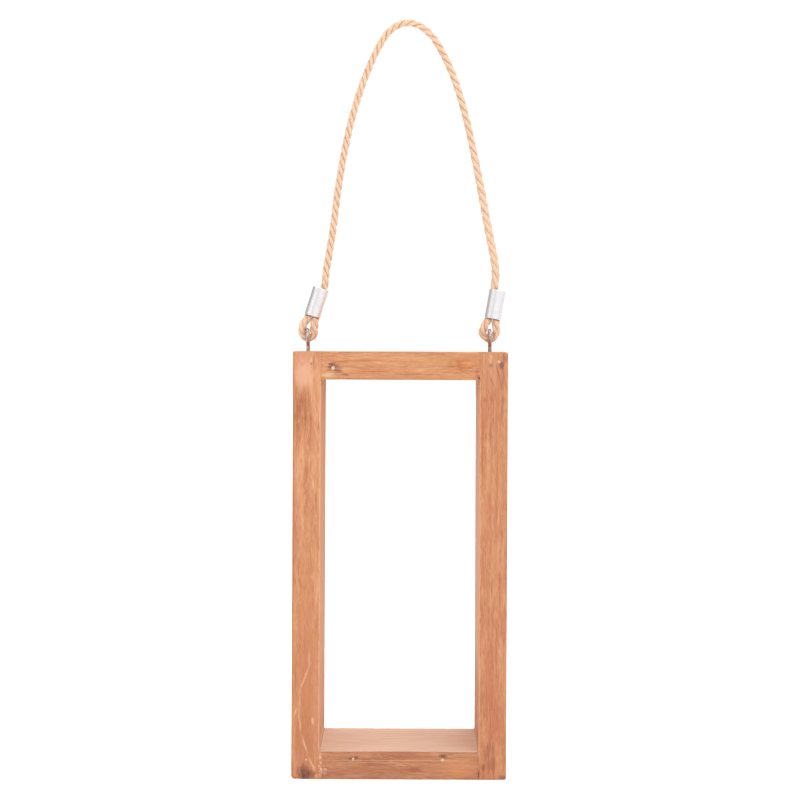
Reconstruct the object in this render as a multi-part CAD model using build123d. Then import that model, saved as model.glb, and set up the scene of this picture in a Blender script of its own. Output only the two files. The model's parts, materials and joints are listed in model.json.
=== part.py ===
"""Open wooden box lantern with a rope handle.

Four boards are butt-jointed into an upright frame, open at the front and the back.
A screw eye stands in the top end of each side board, and a rope runs from one eye
to the other in an arch. A crimped ferrule closes the loop at each end of the rope.

Millimetres. +X is to the right, +Y is to the back and +Z is up. The origin is the
bottom centre of the wooden box. Each sub-part is written to parts/NAME.step.
"""
from build123d import *
import math
import os

# ---- driving dimensions -------------------------------------------------------------
# wooden box
box_width = 160.0
box_height = 318.0
board_depth = 95.0
board_thickness = 21.0
edge_rounding = 1.2

# screw eyes
eye_shift = -1.3            # both eyes stand this far to one side of the boards' middle
eye_wire_diameter = 2.8
eye_ring_room = 2.8         # how much wider the ring's hole is than the rope
eye_ring_height = 11.0      # centre of the ring above the top of the box
eye_ring_gap_angle = 16.0   # the ring isn't closed where the wire's end meets the shank
eye_thread_diameter = 3.2
eye_thread_length = 19.0
eye_tip_length = 3.0
eye_tip_radius = 0.2

# rope
rope_diameter = 5.2
rope_leg_gap = 0.2          # between the two legs of a loop, side by side in the ferrule
rope_rest_gap = 0.3         # under the rope, in the ring's hole
rope_eye_gap = 1.6          # between the ring's wire and each leg of the loop
tail_recess = 5.0           # the rope's end lies this far down inside the ferrule
legs_start_below = 0.5      # a loop's legs run straight from this far below the ferrule
legs_end_above = 0.8        # and the inner leg stays straight to this far above it
leg_bow = 0.06              # keeps three points in a ferrule out of one line
leg_bow_height = 0.38       # share of the ferrule's length
rope_bend_share = 0.45      # of the shorter stretch at a point of the rope, taken by its bend

# ferrules: X and Z of the lower mouth's middle are counted from the ring's centre
ferrule_length = 22.3
ferrule_wall = 0.8
ferrule_bore_gap = 0.05     # between the rope and the ferrule's bore
ferrule_edge_rounding = 0.25
left_ferrule_foot = (2.9, 15.8)
left_ferrule_lean = 17.3    # degrees from upright, towards +X
right_ferrule_foot = (1.9, 14.3)
right_ferrule_lean = 9.8

# rope's free stretch: X and Z from the centre of the ring that the half hangs on,
# from just above the ferrule to the top of the arch
left_free_points = [
    (13.1, 50.0), (18.1, 78.0), (21.0, 105.0), (25.8, 137.0), (33.2, 171.5),
    (44.7, 206.0), (56.4, 229.4), (63.6, 237.2), (73.4, 241.4),
]
right_free_points = [
    (4.7, 52.5), (-1.5, 82.0), (-7.1, 112.0), (-13.3, 143.0), (-20.0, 173.0),
    (-29.6, 203.0), (-40.0, 223.4), (-46.3, 232.0), (-55.2, 239.4),
]

# rope's shoulders, between the ring and the ferrule, counted in the same way
left_outer_shoulder = (-5.0, 8.6)
left_inner_shoulder = (6.3, 7.8)
right_outer_shoulder = (6.3, 7.4)
right_inner_shoulder = (-5.0, 7.4)

# nails through the side boards into the ends of the top and bottom boards
nail_diameter = 2.0
nail_length = 50.0
nail_head_diameter = 3.6
nail_head_thickness = 1.2
nail_tip_length = 2.5
nail_inset = 22.0           # from the front and back faces

# brads in the front face
brad_diameter = 1.3
brad_length = 16.0
brad_head_diameter = 2.0
brad_head_thickness = 0.7
brad_tip_length = 1.5
pin_tip_radius = 0.1
# X from the screw eye or from the opening's edge, and Z from the nearer end of the box
top_left_brad_places = [(-2.0, 6.9), (4.4, 6.2)]
top_right_brad_places = [(-1.3, 6.5), (4.9, 7.1)]
bottom_left_brad_places = [(2.0, 14.7)]
top_board_brad_place = (9.1, 12.1)
bottom_board_brad_places = [(-33.9, 15.5), (32.6, 14.7)]    # X from the middle of the box

# filler over each nail and brad head, flush with the wood
filler_depth = 1.5

# ---- worked out ---------------------------------------------------------------------
half_width = box_width / 2
half_depth = board_depth / 2
inner_half_width = half_width - board_thickness
side_middle = half_width - board_thickness / 2
top_board_middle = box_height - board_thickness / 2
bottom_board_middle = board_thickness / 2

ring_hole_radius = (rope_diameter + eye_ring_room) / 2
ring_middle_radius = ring_hole_radius + eye_wire_diameter / 2
ring_z = box_height + eye_ring_height
left_eye_x = -side_middle + eye_shift
right_eye_x = side_middle + eye_shift

leg_offset = (rope_diameter + rope_leg_gap) / 2
loop_half_width = eye_wire_diameter / 2 + rope_eye_gap + rope_diameter / 2
loop_drop = ring_hole_radius - rope_diameter / 2 - rope_rest_gap

# X and Z of every brad
left_brads = {
    "top_left_brads": [(left_eye_x + x, box_height - z) for x, z in top_left_brad_places],
    "bottom_left_brad": [(left_eye_x + x, z) for x, z in bottom_left_brad_places],
}
right_brads = {"top_right_brads": [(right_eye_x + x, box_height - z) for x, z in top_right_brad_places]}
top_brads = {
    "top_board_brad": [(top_board_brad_place[0] - inner_half_width, box_height - top_board_brad_place[1])],
}
bottom_brads = {"bottom_board_brads": bottom_board_brad_places}
nail_places_y = (-half_depth + nail_inset, half_depth - nail_inset)


# ---- wood ---------------------------------------------------------------------------
def headed_pin(diameter, length, head_diameter, head_thickness, tip_length):
    """A nail along -Z, its head's top on the origin."""
    head = Cylinder(head_diameter / 2, head_thickness, align=(Align.CENTER, Align.CENTER, Align.MAX))
    straight = length - head_thickness - tip_length
    shank = Pos(0, 0, -head_thickness) * Cylinder(
        diameter / 2, straight, align=(Align.CENTER, Align.CENTER, Align.MAX)
    )
    tip = Pos(0, 0, -head_thickness - straight) * Cone(
        pin_tip_radius, diameter / 2, tip_length, align=(Align.CENTER, Align.CENTER, Align.MAX)
    )
    return head + shank + tip


def corner_nail():
    return headed_pin(nail_diameter, nail_length, nail_head_diameter, nail_head_thickness, nail_tip_length)


def face_brad():
    return headed_pin(brad_diameter, brad_length, brad_head_diameter, brad_head_thickness, brad_tip_length)


def filler(diameter):
    """A plug along -Z, its outer face on the origin."""
    return Cylinder(diameter / 2, filler_depth, align=(Align.CENTER, Align.CENTER, Align.MAX))


def nail_spots(side, middle_z):
    """Where the two nails of one corner go in, their heads facing outwards along X."""
    turn = Rot(0, 90 * side, 0)
    return [Pos(side * half_width, y, middle_z) * turn for y in nail_places_y]


def brad_spots(places):
    """Where brads go in, their heads facing the front."""
    return [Pos(x, -half_depth, z) * Rot(90, 0, 0) for x, z in places]


def all_brad_spots(brads):
    return [spot for places in brads.values() for spot in brad_spots(places)]


def sunk(spot, pin):
    """The pin at that spot, its head under the filler."""
    return spot * Pos(0, 0, -filler_depth) * pin


def fastened(board, nails, brads):
    """The board without the room that its nails, brads and fillers take."""
    for spot in nails:
        board -= sunk(spot, corner_nail()) + spot * filler(nail_head_diameter)
    for spot in brads:
        board -= sunk(spot, face_brad()) + spot * filler(brad_head_diameter)
    return board


def side_board(side, eye_x, brads):
    """A full-height board. Its edges are rounded but for those that meet the short boards."""
    board = Pos(side * side_middle, 0, box_height / 2) * Box(board_thickness, board_depth, box_height)
    outer = board.edges().filter_by(Axis.Z).sort_by(Axis.X)
    outer = outer[2:] if side > 0 else outer[:2]
    ends = board.edges().filter_by(Axis.Y).sort_by(Axis.X)
    ends = ends[2:] if side > 0 else ends[:2]
    board = fillet(outer + ends, edge_rounding) - eye_thread(eye_x)
    nails = nail_spots(side, top_board_middle) + nail_spots(side, bottom_board_middle)
    return fastened(board, nails, all_brad_spots(brads))


def short_board(middle_z, outward, brads):
    """The top or bottom board, between the side boards, its outer long edges the rounder."""
    board = Pos(0, 0, middle_z) * Box(2 * inner_half_width, board_depth, board_thickness)
    outer, inner = (-1, 0) if outward > 0 else (0, -1)
    board = fillet(board.edges().filter_by(Axis.X).group_by(Axis.Z)[outer], edge_rounding)
    board = fillet(board.edges().filter_by(Axis.X).group_by(Axis.Z)[inner], edge_rounding / 2)
    nails = nail_spots(-1, middle_z) + nail_spots(1, middle_z)
    return fastened(board, nails, all_brad_spots(brads))


# ---- screw eyes ---------------------------------------------------------------------
def eye_thread(x):
    """The part of a screw eye that is in the wood."""
    straight = eye_thread_length - eye_tip_length
    thread = Pos(x, 0, box_height) * Cylinder(
        eye_thread_diameter / 2, straight, align=(Align.CENTER, Align.CENTER, Align.MAX)
    )
    tip = Pos(x, 0, box_height - straight) * Cone(
        eye_tip_radius, eye_thread_diameter / 2, eye_tip_length, align=(Align.CENTER, Align.CENTER, Align.MAX)
    )
    return thread + tip


def screw_eye(x):
    """A wire ring in the YZ plane on a straight shank, and the thread below it."""
    ring_foot = ring_z - ring_middle_radius
    ring = Pos(x, 0, ring_z) * Rot(0, 90, 0) * Torus(
        ring_middle_radius, eye_wire_diameter / 2, major_angle=360 - eye_ring_gap_angle
    )
    shank = Pos(x, 0, box_height) * Cylinder(
        eye_wire_diameter / 2, ring_foot - box_height, align=(Align.CENTER, Align.CENTER, Align.MIN)
    )
    knee = Pos(x, 0, ring_foot) * Sphere(eye_wire_diameter / 2)
    return ring + shank + knee + eye_thread(x)


# ---- rope and ferrules --------------------------------------------------------------
def ferrule_point(foot, lean, along, across):
    """X and Z, from the ring's centre, of a point of the ferrule's own axes."""
    angle = math.radians(lean)
    up = (math.sin(angle), math.cos(angle))
    right = (math.cos(angle), -math.sin(angle))
    return (
        foot[0] + along * up[0] + across * right[0],
        foot[1] + along * up[1] + across * right[1],
    )


def half_route(side, foot, lean, outer_shoulder, inner_shoulder, free_points):
    """Half of the rope's points, from its end in the ferrule, round the ring and up the arch.

    side is -1 for the left half and 1 for the right. The loop round the ring is the lower
    half of an octagon, and both of its legs run straight through the ferrule.
    """
    outer, inner = side * leg_offset, -side * leg_offset
    bow = side * leg_bow
    bow_height = ferrule_length * leg_bow_height
    corner = loop_half_width * (2 - math.sqrt(2))
    near = loop_half_width - corner
    return [
        ferrule_point(foot, lean, ferrule_length - tail_recess, outer),
        ferrule_point(foot, lean, bow_height, outer + bow),
        ferrule_point(foot, lean, -legs_start_below, outer),
        outer_shoulder,
        (side * loop_half_width, corner - loop_drop),
        (side * near, -loop_drop),
        (-side * near, -loop_drop),
        (-side * loop_half_width, corner - loop_drop),
        inner_shoulder,
        ferrule_point(foot, lean, -legs_start_below, inner),
        ferrule_point(foot, lean, bow_height, inner - bow),
        ferrule_point(foot, lean, ferrule_length + legs_end_above, inner),
    ] + free_points


def rope_route():
    left = half_route(-1, left_ferrule_foot, left_ferrule_lean,
                      left_outer_shoulder, left_inner_shoulder, left_free_points)
    right = half_route(1, right_ferrule_foot, right_ferrule_lean,
                       right_outer_shoulder, right_inner_shoulder, right_free_points)
    points = [(left_eye_x + x, ring_z + z) for x, z in left]
    points += [(right_eye_x + x, ring_z + z) for x, z in reversed(right)]
    return [Vector(x, 0, z) for x, z in points]


def rope_handle():
    points = rope_route()
    radii = []
    for before, here, after in zip(points, points[1:], points[2:]):
        run_in, run_out = here - before, after - here
        turn = run_in.get_angle(run_out)
        shorter = min(run_in.length, run_out.length)
        radii.append(rope_bend_share * shorter / math.tan(math.radians(turn / 2)))
    print("rope radii", [round(r, 1) for r in radii])
    path = FilletPolyline(*points, radius=radii)
    rope = sweep(Plane(origin=path @ 0, z_dir=path % 0) * Circle(rope_diameter / 2), path=path)
    expected = math.pi * rope_diameter ** 2 / 4 * path.length
    print(f"rope length {path.length:.1f} mm, volume {rope.volume:.0f} of {expected:.0f} mm3")
    return rope


def ferrule(eye_x, foot, lean):
    """A flattened tube round both legs of the loop."""
    bore_radius = rope_diameter / 2 + ferrule_bore_gap
    x, z = ferrule_point(foot, lean, 0, 0)
    outer = SlotCenterToCenter(2 * leg_offset, 2 * (bore_radius + ferrule_wall))
    bore = SlotCenterToCenter(2 * leg_offset, 2 * bore_radius)
    tube = extrude(outer, ferrule_length)
    rims = tube.edges().group_by(Axis.Z)
    tube = fillet(rims[0] + rims[-1], ferrule_edge_rounding)
    tube -= extrude(bore, ferrule_length)
    return Pos(eye_x + x, 0, ring_z + z) * Rot(0, lean, 0) * tube


# ---- all sub-parts ------------------------------------------------------------------
def group(solids):
    return Compound(children=list(solids))


def nailed_side(side, name):
    """One side's nails, a group for each corner, and the fillers over their heads."""
    parts, plugs = {}, []
    for corner, middle_z in (("top", top_board_middle), ("bottom", bottom_board_middle)):
        spots = nail_spots(side, middle_z)
        parts[f"{corner}_{name}_nails"] = group(sunk(spot, corner_nail()) for spot in spots)
        plugs += [spot * filler(nail_head_diameter) for spot in spots]
    parts[f"{name}_side_fillers"] = group(plugs)
    return parts


def front_brads():
    """The brads in the front face, and the fillers over their heads."""
    brads = left_brads | right_brads | top_brads | bottom_brads
    parts = {
        name: group(sunk(spot, face_brad()) for spot in brad_spots(places))
        for name, places in brads.items()
    }
    parts["front_fillers"] = group(spot * filler(brad_head_diameter) for spot in all_brad_spots(brads))
    return parts


def sub_parts():
    return {
        "left_side_board": side_board(-1, left_eye_x, left_brads),
        "right_side_board": side_board(1, right_eye_x, right_brads),
        "top_board": short_board(top_board_middle, 1, top_brads),
        "bottom_board": short_board(bottom_board_middle, -1, bottom_brads),
        "left_screw_eye": screw_eye(left_eye_x),
        "right_screw_eye": screw_eye(right_eye_x),
        "rope_handle": rope_handle(),
        "left_ferrule": ferrule(left_eye_x, left_ferrule_foot, left_ferrule_lean),
        "right_ferrule": ferrule(right_eye_x, right_ferrule_foot, right_ferrule_lean),
    } | nailed_side(-1, "left") | nailed_side(1, "right") | front_brads()


os.makedirs("parts", exist_ok=True)
for node, shape in sub_parts().items():
    export_step(shape, f"parts/{node}.step")
    print(node, len(shape.solids()), "solid(s)")
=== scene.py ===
# %% [markdown]
# # A wooden box lantern with a rope handle
#
# This lesson builds the looks of an open candle lantern around a finished technical
# model. The model gives every piece's place and the hinge that the rope swings on, so
# here nothing is moved or resized. Each piece is a surface worked out with numpy, and
# each finish is a small network of shader nodes. We work in metres throughout.

# %% Load the technical model
import json
import math

import bpy
import numpy as np
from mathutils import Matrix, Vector


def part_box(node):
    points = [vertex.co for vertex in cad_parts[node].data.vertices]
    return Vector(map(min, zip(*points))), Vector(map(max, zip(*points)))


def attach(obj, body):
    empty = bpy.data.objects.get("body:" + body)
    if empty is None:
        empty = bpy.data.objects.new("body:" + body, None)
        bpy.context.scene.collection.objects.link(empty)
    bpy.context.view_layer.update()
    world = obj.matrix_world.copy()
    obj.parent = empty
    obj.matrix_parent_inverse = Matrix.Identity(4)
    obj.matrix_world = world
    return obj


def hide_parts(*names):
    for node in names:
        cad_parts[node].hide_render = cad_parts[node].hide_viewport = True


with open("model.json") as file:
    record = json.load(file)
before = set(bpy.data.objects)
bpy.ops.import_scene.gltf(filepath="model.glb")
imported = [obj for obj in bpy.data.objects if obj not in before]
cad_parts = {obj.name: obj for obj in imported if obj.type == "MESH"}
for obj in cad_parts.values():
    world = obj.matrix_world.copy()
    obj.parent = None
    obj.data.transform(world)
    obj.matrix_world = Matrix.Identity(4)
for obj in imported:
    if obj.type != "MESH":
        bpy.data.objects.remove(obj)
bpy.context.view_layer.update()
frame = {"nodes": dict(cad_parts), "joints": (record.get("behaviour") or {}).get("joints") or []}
MM = 0.001
print("pieces in the model:", len(frame["nodes"]))

# %% [markdown]
# ## Where things are
#
# A maker measures the blank before cutting. The boards, the screw eyes and the ferrules
# all have a box in the model, so their sizes and places are read from it, and a new
# surface made from these numbers fits without any trimming.

# %% Read the pieces' places
def span(node):
    """Lowest and highest corner of a model piece, as two arrays."""
    low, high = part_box(node)
    return np.array(low), np.array(high)


hinge = np.array(frame["joints"][0]["pos_m"])
box_low = np.minimum(span("left_side_board")[0], span("bottom_board")[0])
box_high = np.maximum(span("right_side_board")[1], span("top_board")[1])
board = span("bottom_board")[1][2] - span("bottom_board")[0][2]
eye_x = {side: float(np.mean([c[0] for c in span(f"{side}_screw_eye")])) for side in ("left", "right")}
ring_z = float(hinge[2])
print("box", box_low / MM, box_high / MM)
print("board thickness", round(board / MM, 2), "eyes at", {k: round(v / MM, 1) for k, v in eye_x.items()})

# %% [markdown]
# ## The camera
#
# The lantern is seen from straight in front and a little above the top board, through a
# long lens, so its sides look almost parallel. The lens stays level, and the picture is
# framed by shifting the sensor. That keeps upright boards upright. A turn of a quarter
# degree leans the lantern, as it leans when it isn't quite straight on its table.

# %% Make the camera
camera_distance = 1.530
camera = bpy.data.objects.new("camera", bpy.data.cameras.new("camera"))
bpy.context.scene.collection.objects.link(camera)
bpy.context.scene.camera = camera
camera.location = (0.00634, box_low[1] - camera_distance, 0.3215)
camera.rotation_euler = (math.radians(90), math.radians(-0.26), 0)
camera.data.lens = 92.7
camera.data.sensor_width = 36.0
camera.data.shift_x = -0.0114
camera.data.shift_y = -0.0663
camera.data.clip_end = 50
print("camera at", [round(c, 3) for c in camera.location])

# %% [markdown]
# ## The rope's route
#
# The handle is one length of stiff three-strand rope. Its end is crimped inside the left
# ferrule. From there it runs down, round the screw eye's ring, back up through the
# ferrule, over in an arch, and the same way into the right ferrule. A NURBS spline with
# a few given points gives the even, springy line that a stiff rope takes. The
# points are counted from the centre of the ring that each half hangs on.

# %% The ferrules and the rope's points
LEG = 2.7 * MM                 # half the distance between the two legs in a ferrule
FERRULE_LENGTH = 22.3 * MM
TAIL_RECESS = 5.0 * MM
LOOP_DROP = 1.1 * MM
ferrules = {
    "left": {"foot": (2.9 * MM, 15.8 * MM), "lean": math.radians(17.3), "sign": -1},
    "right": {"foot": (1.9 * MM, 14.3 * MM), "lean": math.radians(9.8), "sign": 1},
}
loop_sides = {"left": (5.2 * MM, 4.6 * MM), "right": (4.7 * MM, 5.8 * MM)}        # outer and inner half width
shoulders = {"left": ((-4.5, 9.0), (4.2, 8.6)), "right": ((4.9, 8.0), (-5.2, 7.8))}
free_points = {
    "left": [
        (13.1, 50.0), (18.1, 78.0), (21.0, 105.0), (25.8, 137.0), (33.2, 171.5),
        (44.7, 206.0), (56.4, 229.4), (63.6, 237.2), (73.4, 241.4),
    ],
    "right": [
        (4.7, 52.5), (-1.5, 82.0), (-7.1, 112.0), (-13.3, 143.0), (-20.0, 173.0),
        (-29.6, 203.0), (-40.0, 223.4), (-46.3, 232.0), (-55.2, 239.4),
    ],
}


def in_ferrule(side, along, across):
    """X and Z, from the ring's centre, of a point on the leaning ferrule's own axes."""
    foot, lean = ferrules[side]["foot"], ferrules[side]["lean"]
    return (
        foot[0] + along * math.sin(lean) + across * math.cos(lean),
        foot[1] + along * math.cos(lean) - across * math.sin(lean),
    )


def half_route(side):
    """One half of the rope's points: the tail, the loop round the ring, and the arch."""
    sign = ferrules[side]["sign"]
    outer, inner, bow = sign * LEG, -sign * LEG, sign * 0.06 * MM
    outer_side, inner_side = loop_sides[side]
    share = 2 - math.sqrt(2)
    outer_shoulder, inner_shoulder = ([c * MM for c in point] for point in shoulders[side])
    points = [
        in_ferrule(side, FERRULE_LENGTH - TAIL_RECESS, outer),
        in_ferrule(side, FERRULE_LENGTH * 0.38, outer + bow),
        in_ferrule(side, -0.5 * MM, 0.92 * outer),
        outer_shoulder,
        (sign * outer_side, share * outer_side - LOOP_DROP),
        (sign * (1 - share) * outer_side, -LOOP_DROP),
        (-sign * (1 - share) * inner_side, -LOOP_DROP),
        (-sign * inner_side, share * inner_side - LOOP_DROP),
        inner_shoulder,
        in_ferrule(side, -0.5 * MM, 0.92 * inner),
        in_ferrule(side, FERRULE_LENGTH * 0.38, inner - bow),
        in_ferrule(side, FERRULE_LENGTH + 0.8 * MM, inner),
    ]
    points += [(x * MM, z * MM) for x, z in free_points[side]]
    return [(eye_x[side] + x, 0.0, ring_z + z) for x, z in points]


route_points = half_route("left") + half_route("right")[::-1]
print("rope route:", len(route_points), "points")

# %% Draw the route as one NURBS spline and read its line
def nurbs_line(name, points, steps):
    """The line of a NURBS spline through the pull of its points, as an array."""
    curve = bpy.data.curves.new(name, "CURVE")
    curve.dimensions = "3D"
    curve.resolution_u = steps
    spline = curve.splines.new("NURBS")
    spline.points.add(len(points) - 1)
    for point, place in zip(spline.points, points):
        point.co = (*place, 1.0)
    spline.order_u = 3
    spline.use_endpoint_u = True
    carrier = bpy.data.objects.new(name, curve)
    bpy.context.scene.collection.objects.link(carrier)
    mesh = bpy.data.meshes.new_from_object(carrier)
    line = np.zeros(len(mesh.vertices) * 3)
    mesh.vertices.foreach_get("co", line)
    bpy.data.objects.remove(carrier)
    bpy.data.meshes.remove(mesh)
    return line.reshape(-1, 3)


def evenly(line, count):
    """The same line with its points moved to equal distances along it."""
    steps = np.linalg.norm(np.diff(line, axis=0), axis=1)
    keep = np.concatenate([[True], steps > 1e-9])
    line, reach = line[keep], np.concatenate([[0], np.cumsum(steps[steps > 1e-9])])
    marks = np.linspace(0, reach[-1], count)
    return np.column_stack([np.interp(marks, reach, line[:, k]) for k in range(3)]), reach[-1]


rope_line, rope_length = evenly(nurbs_line("rope_route", route_points, 24), 1101)
print("rope length in mm:", round(rope_length / MM, 1))

# %% [markdown]
# ## Tools for making surfaces
#
# Wood and rope are never quite regular, so a soft random field is needed: a value at
# each corner of a grid of cells, with a smooth blend in between. It is worked out from
# the corner's own number, so it is the same on every run. A second helper turns rows of
# points into a closed mesh, with a UV map laid along it and the two ends shut.

# %% A soft random field
def soft_noise(points, cell, seed):
    """Values from -1 to 1 that vary smoothly over about one cell.

    Each point lies in a cell of a cubic grid. The eight corner values, which come from
    mixing the corner's whole numbers, are blended with the curve 3t^2 - 2t^3.
    """
    place = np.asarray(points) / cell + 37.0 * np.array([seed, 2 * seed, 3 * seed + 1])
    corner = np.floor(place).astype(np.int64)
    t = place - corner
    t = t * t * (3 - 2 * t)
    total = np.zeros(place.shape[:-1])
    for step in np.ndindex(2, 2, 2):
        whole = corner + np.array(step)
        mixed = whole[..., 0] * 73856093 ^ whole[..., 1] * 19349663 ^ whole[..., 2] * 83492791
        mixed = (mixed ^ (mixed >> 13)) * 1274126177 & 0x7FFFFFFF
        share = np.prod(np.where(np.array(step) == 1, t, 1 - t), axis=-1)
        total += share * (mixed % 100003 / 50001.0 - 1.0)
    return total


def smoothstep(low, high, x):
    """0 below low, 1 above high, and the curve 3t^2 - 2t^3 in between."""
    t = np.clip((x - low) / (high - low), 0, 1)
    return t * t * (3 - 2 * t)


print("noise at three points:", soft_noise(np.eye(3), 0.4, 5).round(3))

# %% Turn rows of points into a closed skin
def tube_faces(rows, around, closed):
    """Corner numbers of a tube's quads, and of the two fans that close its ends.

    The last row of a closed tube joins its first one, as on a ring, and it has no ends.
    """
    row, col = np.meshgrid(np.arange(rows if closed else rows - 1), np.arange(around), indexing="ij")
    after, above = (col + 1) % around, (row + 1) % rows
    quads = np.stack([row * around + col, row * around + after,
                      above * around + after, above * around + col], axis=-1)
    if closed:
        return quads.reshape(-1, 4), np.zeros((0, 3), int)
    ring = np.arange(around)
    first, last = rows * around, rows * around + 1
    start = np.stack([np.full(around, first), (ring + 1) % around, ring], axis=-1)
    end_ring = (rows - 1) * around + ring
    end = np.stack([np.full(around, last), end_ring, (rows - 1) * around + (ring + 1) % around], axis=-1)
    return quads.reshape(-1, 4), np.concatenate([start, end])


def tube_uv(rows, around, width, length, closed):
    """UV of each face corner: u is the way round times width, v the way along times length."""
    steps = rows if closed else rows - 1
    row, col = np.meshgrid(np.arange(steps), np.arange(around), indexing="ij")
    u = np.stack([col, col + 1, col + 1, col], axis=-1) / around * width
    v = np.stack([row, row, row + 1, row + 1], axis=-1) / steps * length
    fans = np.zeros((0 if closed else 2 * around * 3, 2))
    fans[around * 3:, 1] = length
    return np.stack([u, v], axis=-1).reshape(-1, 2), fans


def skin(name, tubes, uv_size=(1.0, 1.0), fields=None, closed=False):
    """One mesh object from tubes, each an array of rows x around x 3, with shut ends.

    fields gives named numbers, one for each point of the tubes in the same order, which
    are stored on the mesh for its material to read. The pole of an end takes the mean
    of its ring. The tubes of a closed skin are rings instead, and have no ends.
    """
    points, quads, fans, uvs_quad, uvs_fan = [], [], [], [], []
    stored = {key: [] for key in fields or {}}
    base = 0
    for number, tube in enumerate(tubes):
        rows, around = tube.shape[:2]
        poles = slice(0, 0 if closed else 1)
        tube_quads, tube_fans = tube_faces(rows, around, closed)
        quad_uv, fan_uv = tube_uv(rows, around, *uv_size, closed)
        points += [tube.reshape(-1, 3), tube[:1][poles].mean(axis=1), tube[-1:][poles].mean(axis=1)]
        quads.append(tube_quads + base)
        fans.append(tube_fans + base)
        uvs_quad.append(quad_uv)
        uvs_fan.append(fan_uv)
        for key in stored:
            field = fields[key][number]
            stored[key] += [field.ravel(), field[:1][poles].mean(axis=1), field[-1:][poles].mean(axis=1)]
        base += rows * around + (0 if closed else 2)
    points, quads, fans = np.concatenate(points), np.concatenate(quads), np.concatenate(fans)
    mesh = bpy.data.meshes.new(name)
    mesh.from_pydata(points.tolist(), [], quads.tolist() + fans.tolist())
    mesh.uv_layers.new(name="UVMap").data.foreach_set(
        "uv", np.concatenate(uvs_quad + uvs_fan).astype(np.float32).ravel())
    for key, values in stored.items():
        mesh.attributes.new(key, "FLOAT", "POINT").data.foreach_set(
            "value", np.concatenate(values).astype(np.float32))
    mesh.shade_smooth()
    turn_outwards(mesh)
    piece = bpy.data.objects.new(name, mesh)
    bpy.context.scene.collection.objects.link(piece)
    triangles = 2 * len(quads) + len(fans)
    print(f"{name}: {len(points)} points, {triangles} triangles")
    return piece


def turn_outwards(mesh):
    """Flips the faces if the mesh's signed volume, the sum of p0 . (p1 x p2) / 6, is negative."""
    mesh.calc_loop_triangles()
    corners = np.zeros(len(mesh.loop_triangles) * 3, np.int32)
    mesh.loop_triangles.foreach_get("vertices", corners)
    place = np.zeros(len(mesh.vertices) * 3)
    mesh.vertices.foreach_get("co", place)
    a, b, c = (place.reshape(-1, 3)[corners.reshape(-1, 3)[:, k]] for k in range(3))
    if np.einsum("ij,ij->i", a, np.cross(b, c)).sum() < 0:
        mesh.flip_normals()


def finish_piece(piece, body, material, slot, *nodes):
    """Gives a piece its material and its body, and hides the model pieces it stands for; slot is not used."""
    piece.data.materials.append(material)
    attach(piece, body)
    if nodes:
        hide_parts(*nodes)
    return piece


print("surface tools ready")

# %% [markdown]
# ## Tools for making materials
#
# A shader network is easier to read when each node is written with its inputs in one
# place. A colour is given as it would be mixed on paper, from 0 to 255, and turned into
# the linear numbers that light works with. Effects that several finishes share, such as
# grain, wear, stains and dust, are node groups with named inputs and outputs.

# %% Short ways to write nodes
def paint(red, green, blue):
    """A screen colour from 0 to 255 as linear light, by the sRGB curve, with alpha 1."""
    share = [c / 255 for c in (red, green, blue)]
    return (*[c / 12.92 if c <= 0.04045 else ((c + 0.055) / 1.055) ** 2.4 for c in share], 1.0)


def feed(tree, node, inputs):
    """Sets each named or numbered input of a node: a plain value, or the socket that feeds it."""
    for key, value in inputs.items():
        if isinstance(value, bpy.types.NodeSocket):
            tree.links.new(value, node.inputs[key])
        else:
            node.inputs[key].default_value = value


def put(tree, kind, inputs=None, **settings):
    """A new node with its settings and inputs."""
    made = tree.nodes.new("ShaderNode" + kind)
    for key, value in settings.items():
        setattr(made, key, value)
    feed(tree, made, inputs or {})
    return made


def maths(tree, how, a, b=0.0, clamp=False):
    return put(tree, "Math", {0: a, 1: b}, operation=how, use_clamp=clamp).outputs[0]


def stretch(tree, vector, by):
    return put(tree, "VectorMath", {0: vector, 1: by}, operation="MULTIPLY").outputs[0]


def cloud(tree, vector, scale, detail=2.0, rough=0.5):
    made = put(tree, "TexNoise", {"Vector": vector, "Scale": scale, "Detail": detail, "Roughness": rough})
    return made.outputs["Fac"]


def ramp(tree, value, low, high, start=0.0, end=1.0):
    """value from low to high becomes start to end, eased at both ends."""
    inputs = {"Value": value, "From Min": low, "From Max": high, "To Min": start, "To Max": end}
    return put(tree, "MapRange", inputs, interpolation_type="SMOOTHSTEP").outputs[0]


def blend(tree, share, first, second):
    made = put(tree, "Mix", data_type="RGBA", clamp_factor=True)
    feed(tree, made, {0: share, 6: first, 7: second})
    return made.outputs[2]


def new_group(name, inputs, outputs):
    """An empty node group with named sockets, and its two end nodes."""
    group = bpy.data.node_groups.new(name, "ShaderNodeTree")
    for socket, kind, value in inputs:
        made = group.interface.new_socket(socket, in_out="INPUT", socket_type="NodeSocket" + kind)
        if value is not None:
            made.default_value = value
    for socket, kind in outputs:
        group.interface.new_socket(socket, in_out="OUTPUT", socket_type="NodeSocket" + kind)
    return group, group.nodes.new("NodeGroupInput"), group.nodes.new("NodeGroupOutput")


def use(tree, group, inputs):
    """Places a node group in a material with its own values."""
    made = tree.nodes.new("ShaderNodeGroup")
    made.node_tree = group
    feed(tree, made, inputs)
    return made.outputs


def new_material(name, constants=None):
    """A material whose constant values are set on the shader's own sockets."""
    material = bpy.data.materials.new(name)
    material.use_nodes = True
    tree = material.node_tree
    surface = next(n for n in tree.nodes if n.type == "BSDF_PRINCIPLED")
    for key, value in (constants or {}).items():
        surface.inputs[key].default_value = value
    return material, tree, surface


print("material tools ready")

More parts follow.
